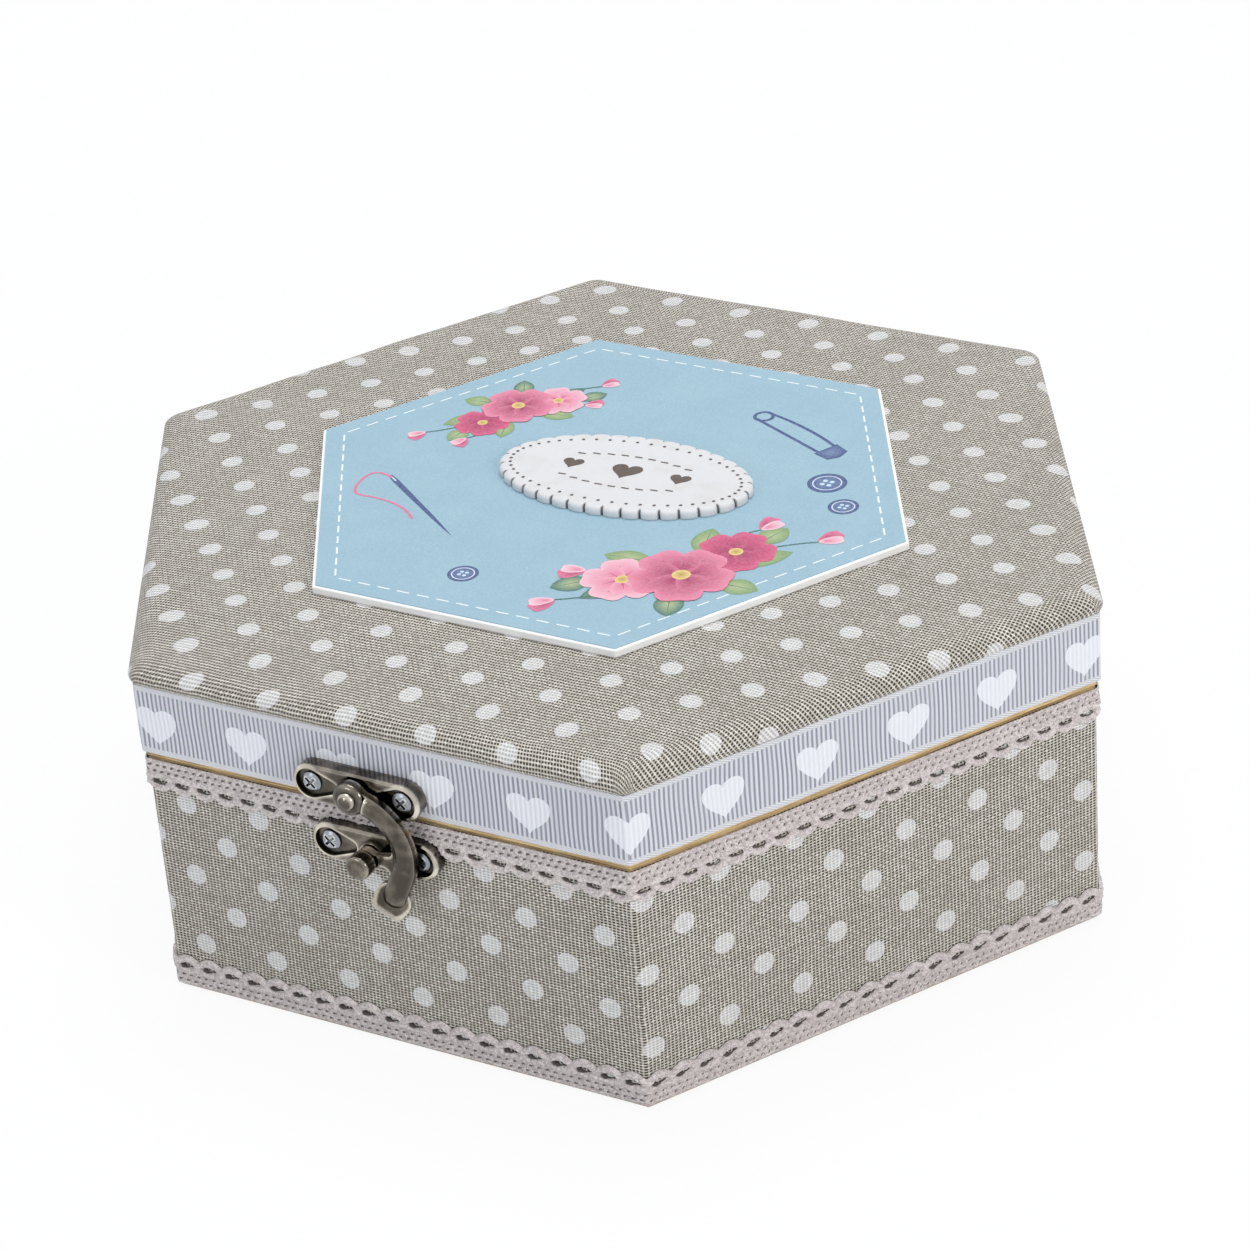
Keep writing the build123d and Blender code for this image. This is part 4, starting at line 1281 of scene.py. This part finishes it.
# %% Marks on the label
ink, tree, shader = new_material("brown_ink", Roughness=0.5, Specular_IOR_Level=0.3)
clouds = cloudy(tree, solid_place(tree), 0.6, 3)
plug(tree, shader.inputs["Base Color"], colour_mix(tree, clouds, (0.06, 0.045, 0.035), (0.16, 0.12, 0.10)))
marks = Drawing(high_z + 0.01)
BROWN = (0.08, 0.06, 0.05)


def label_heart(x, y, size):
    rim = []
    for step in range(32):
        turn = 2 * pi * step / 32
        aside = 16 * sin(turn) ** 3 / 17
        rise = (13 * cos(turn) - 5 * cos(2 * turn) - 2 * cos(3 * turn) - cos(4 * turn)) / 17
        rim.append(on_label(x + size * aside, y + size * rise))
    marks.new_motif()
    marks.fan(on_label(x, y), rim, BROWN, BROWN)


BORDER_DOTS, BORDER_LENGTH, BORDER_WIDTH = 52, 27.4, 13.7
for number in range(BORDER_DOTS):
    angle = 2 * pi * number / BORDER_DOTS
    spot = on_label(BORDER_LENGTH * cos(angle), BORDER_WIDTH * sin(angle))
    marks.new_motif()
    marks.fan(spot, ring_line(spot, 0.4, 8)[:-1], BROWN, BROWN)
for x, size in ((-13, 2.6), (0, 3.8), (13, 2.6)):
    label_heart(x, 0.6, size)
for row in (7.2, -7.0):
    for x in np.linspace(-13, 13, 9):
        bend = 0.012 * x * x * (1 if row > 0 else -1)
        marks.new_motif()
        marks.stroke([on_label(x - 0.9, row - bend), on_label(x + 0.9, row - bend)], 0.45, BROWN)
marks.done("label_marks", "lid", "white_label", ink)
print("label marks:", len(marks.faces), "faces")

# %% [markdown]
# ## Floor and light
# Catalogue pictures use a white floor and broad soft light. To the camera and in reflections the floor is
# mostly a white of its own, and the rest is shaded, so that it stays white and keeps the shadow under the box.

# %% Floor
floor_mesh = bpy.data.meshes.new("floor")
floor_mesh.from_pydata([(-6, -6, 0), (6, -6, 0), (6, 6, 0), (-6, 6, 0)], [], [(0, 1, 2, 3)])
floor = bpy.data.objects.new("floor", floor_mesh)
bpy.context.scene.collection.objects.link(floor)
floor.location.z = -0.0002


def seen_directly(tree):
    """1 for camera, glossy and transmission rays."""
    node = tree.nodes.new("ShaderNodeLightPath")
    seen = Number(tree, node.outputs["Is Camera Ray"])
    seen = seen.math("MAXIMUM", Number(tree, node.outputs["Is Glossy Ray"]))
    return seen.math("MAXIMUM", Number(tree, node.outputs["Is Transmission Ray"]))


def mix_shaders(tree, share, first, second, output):
    """Mix two shaders and send the result to the output."""
    mix = tree.nodes.new("ShaderNodeMixShader")
    plug(tree, mix.inputs[0], share)
    tree.links.new(first.outputs[0], mix.inputs[1])
    tree.links.new(second.outputs[0], mix.inputs[2])
    tree.links.new(mix.outputs[0], tree.nodes[output].inputs[0])


floor_white, tree, shader = new_material("floor_white", Base_Color=(0.88, 0.88, 0.88), Roughness=0.9,
                                         Specular_IOR_Level=0.0)
glow = tree.nodes.new("ShaderNodeEmission")
mix_shaders(tree, seen_directly(tree) * 0.92, shader, glow, "Material Output")
floor_mesh.materials.append(floor_white)

# %% Light
LIT_PLACE = Vector((0, 0, 0.05))
world = bpy.data.worlds.new("studio")
bpy.context.scene.world = world
world.use_nodes = True
tree = world.node_tree
soft = tree.nodes["Background"]
soft.inputs["Color"].default_value = (0.90, 0.95, 1.0, 1)
soft.inputs["Strength"].default_value = 0.55
white = tree.nodes.new("ShaderNodeBackground")
white.inputs["Color"].default_value = (1, 1, 1, 1)
mix_shaders(tree, seen_directly(tree), soft, white, "World Output")


def soft_lamp(name, place, size, watts, colour=(1, 1, 1)):
    """A square lamp that points at the middle of the box."""
    lamp = bpy.data.objects.new(name, bpy.data.lights.new(name, "AREA"))
    lamp.data.shape = "RECTANGLE"
    lamp.data.size = size
    lamp.data.size_y = size
    lamp.data.energy = watts
    lamp.data.color = colour
    lamp.location = place
    lamp.rotation_mode = "QUATERNION"
    lamp.rotation_quaternion = (LIT_PLACE - Vector(place)).to_track_quat("-Z", "Y")
    bpy.context.scene.collection.objects.link(lamp)


soft_lamp("top_lamp", (-0.15, 0.35, 1.5), 0.8, 11.4)
soft_lamp("right_lamp", (1.5, -0.5, 0.8), 0.5, 10.2, (1.0, 0.98, 0.95))
soft_lamp("front_lamp", (-0.6, -1.6, 0.7), 0.4, 4.2, (0.92, 0.96, 1.0))
bpy.context.scene.view_settings.view_transform = "Standard"
print("floor, sky and three lamps")
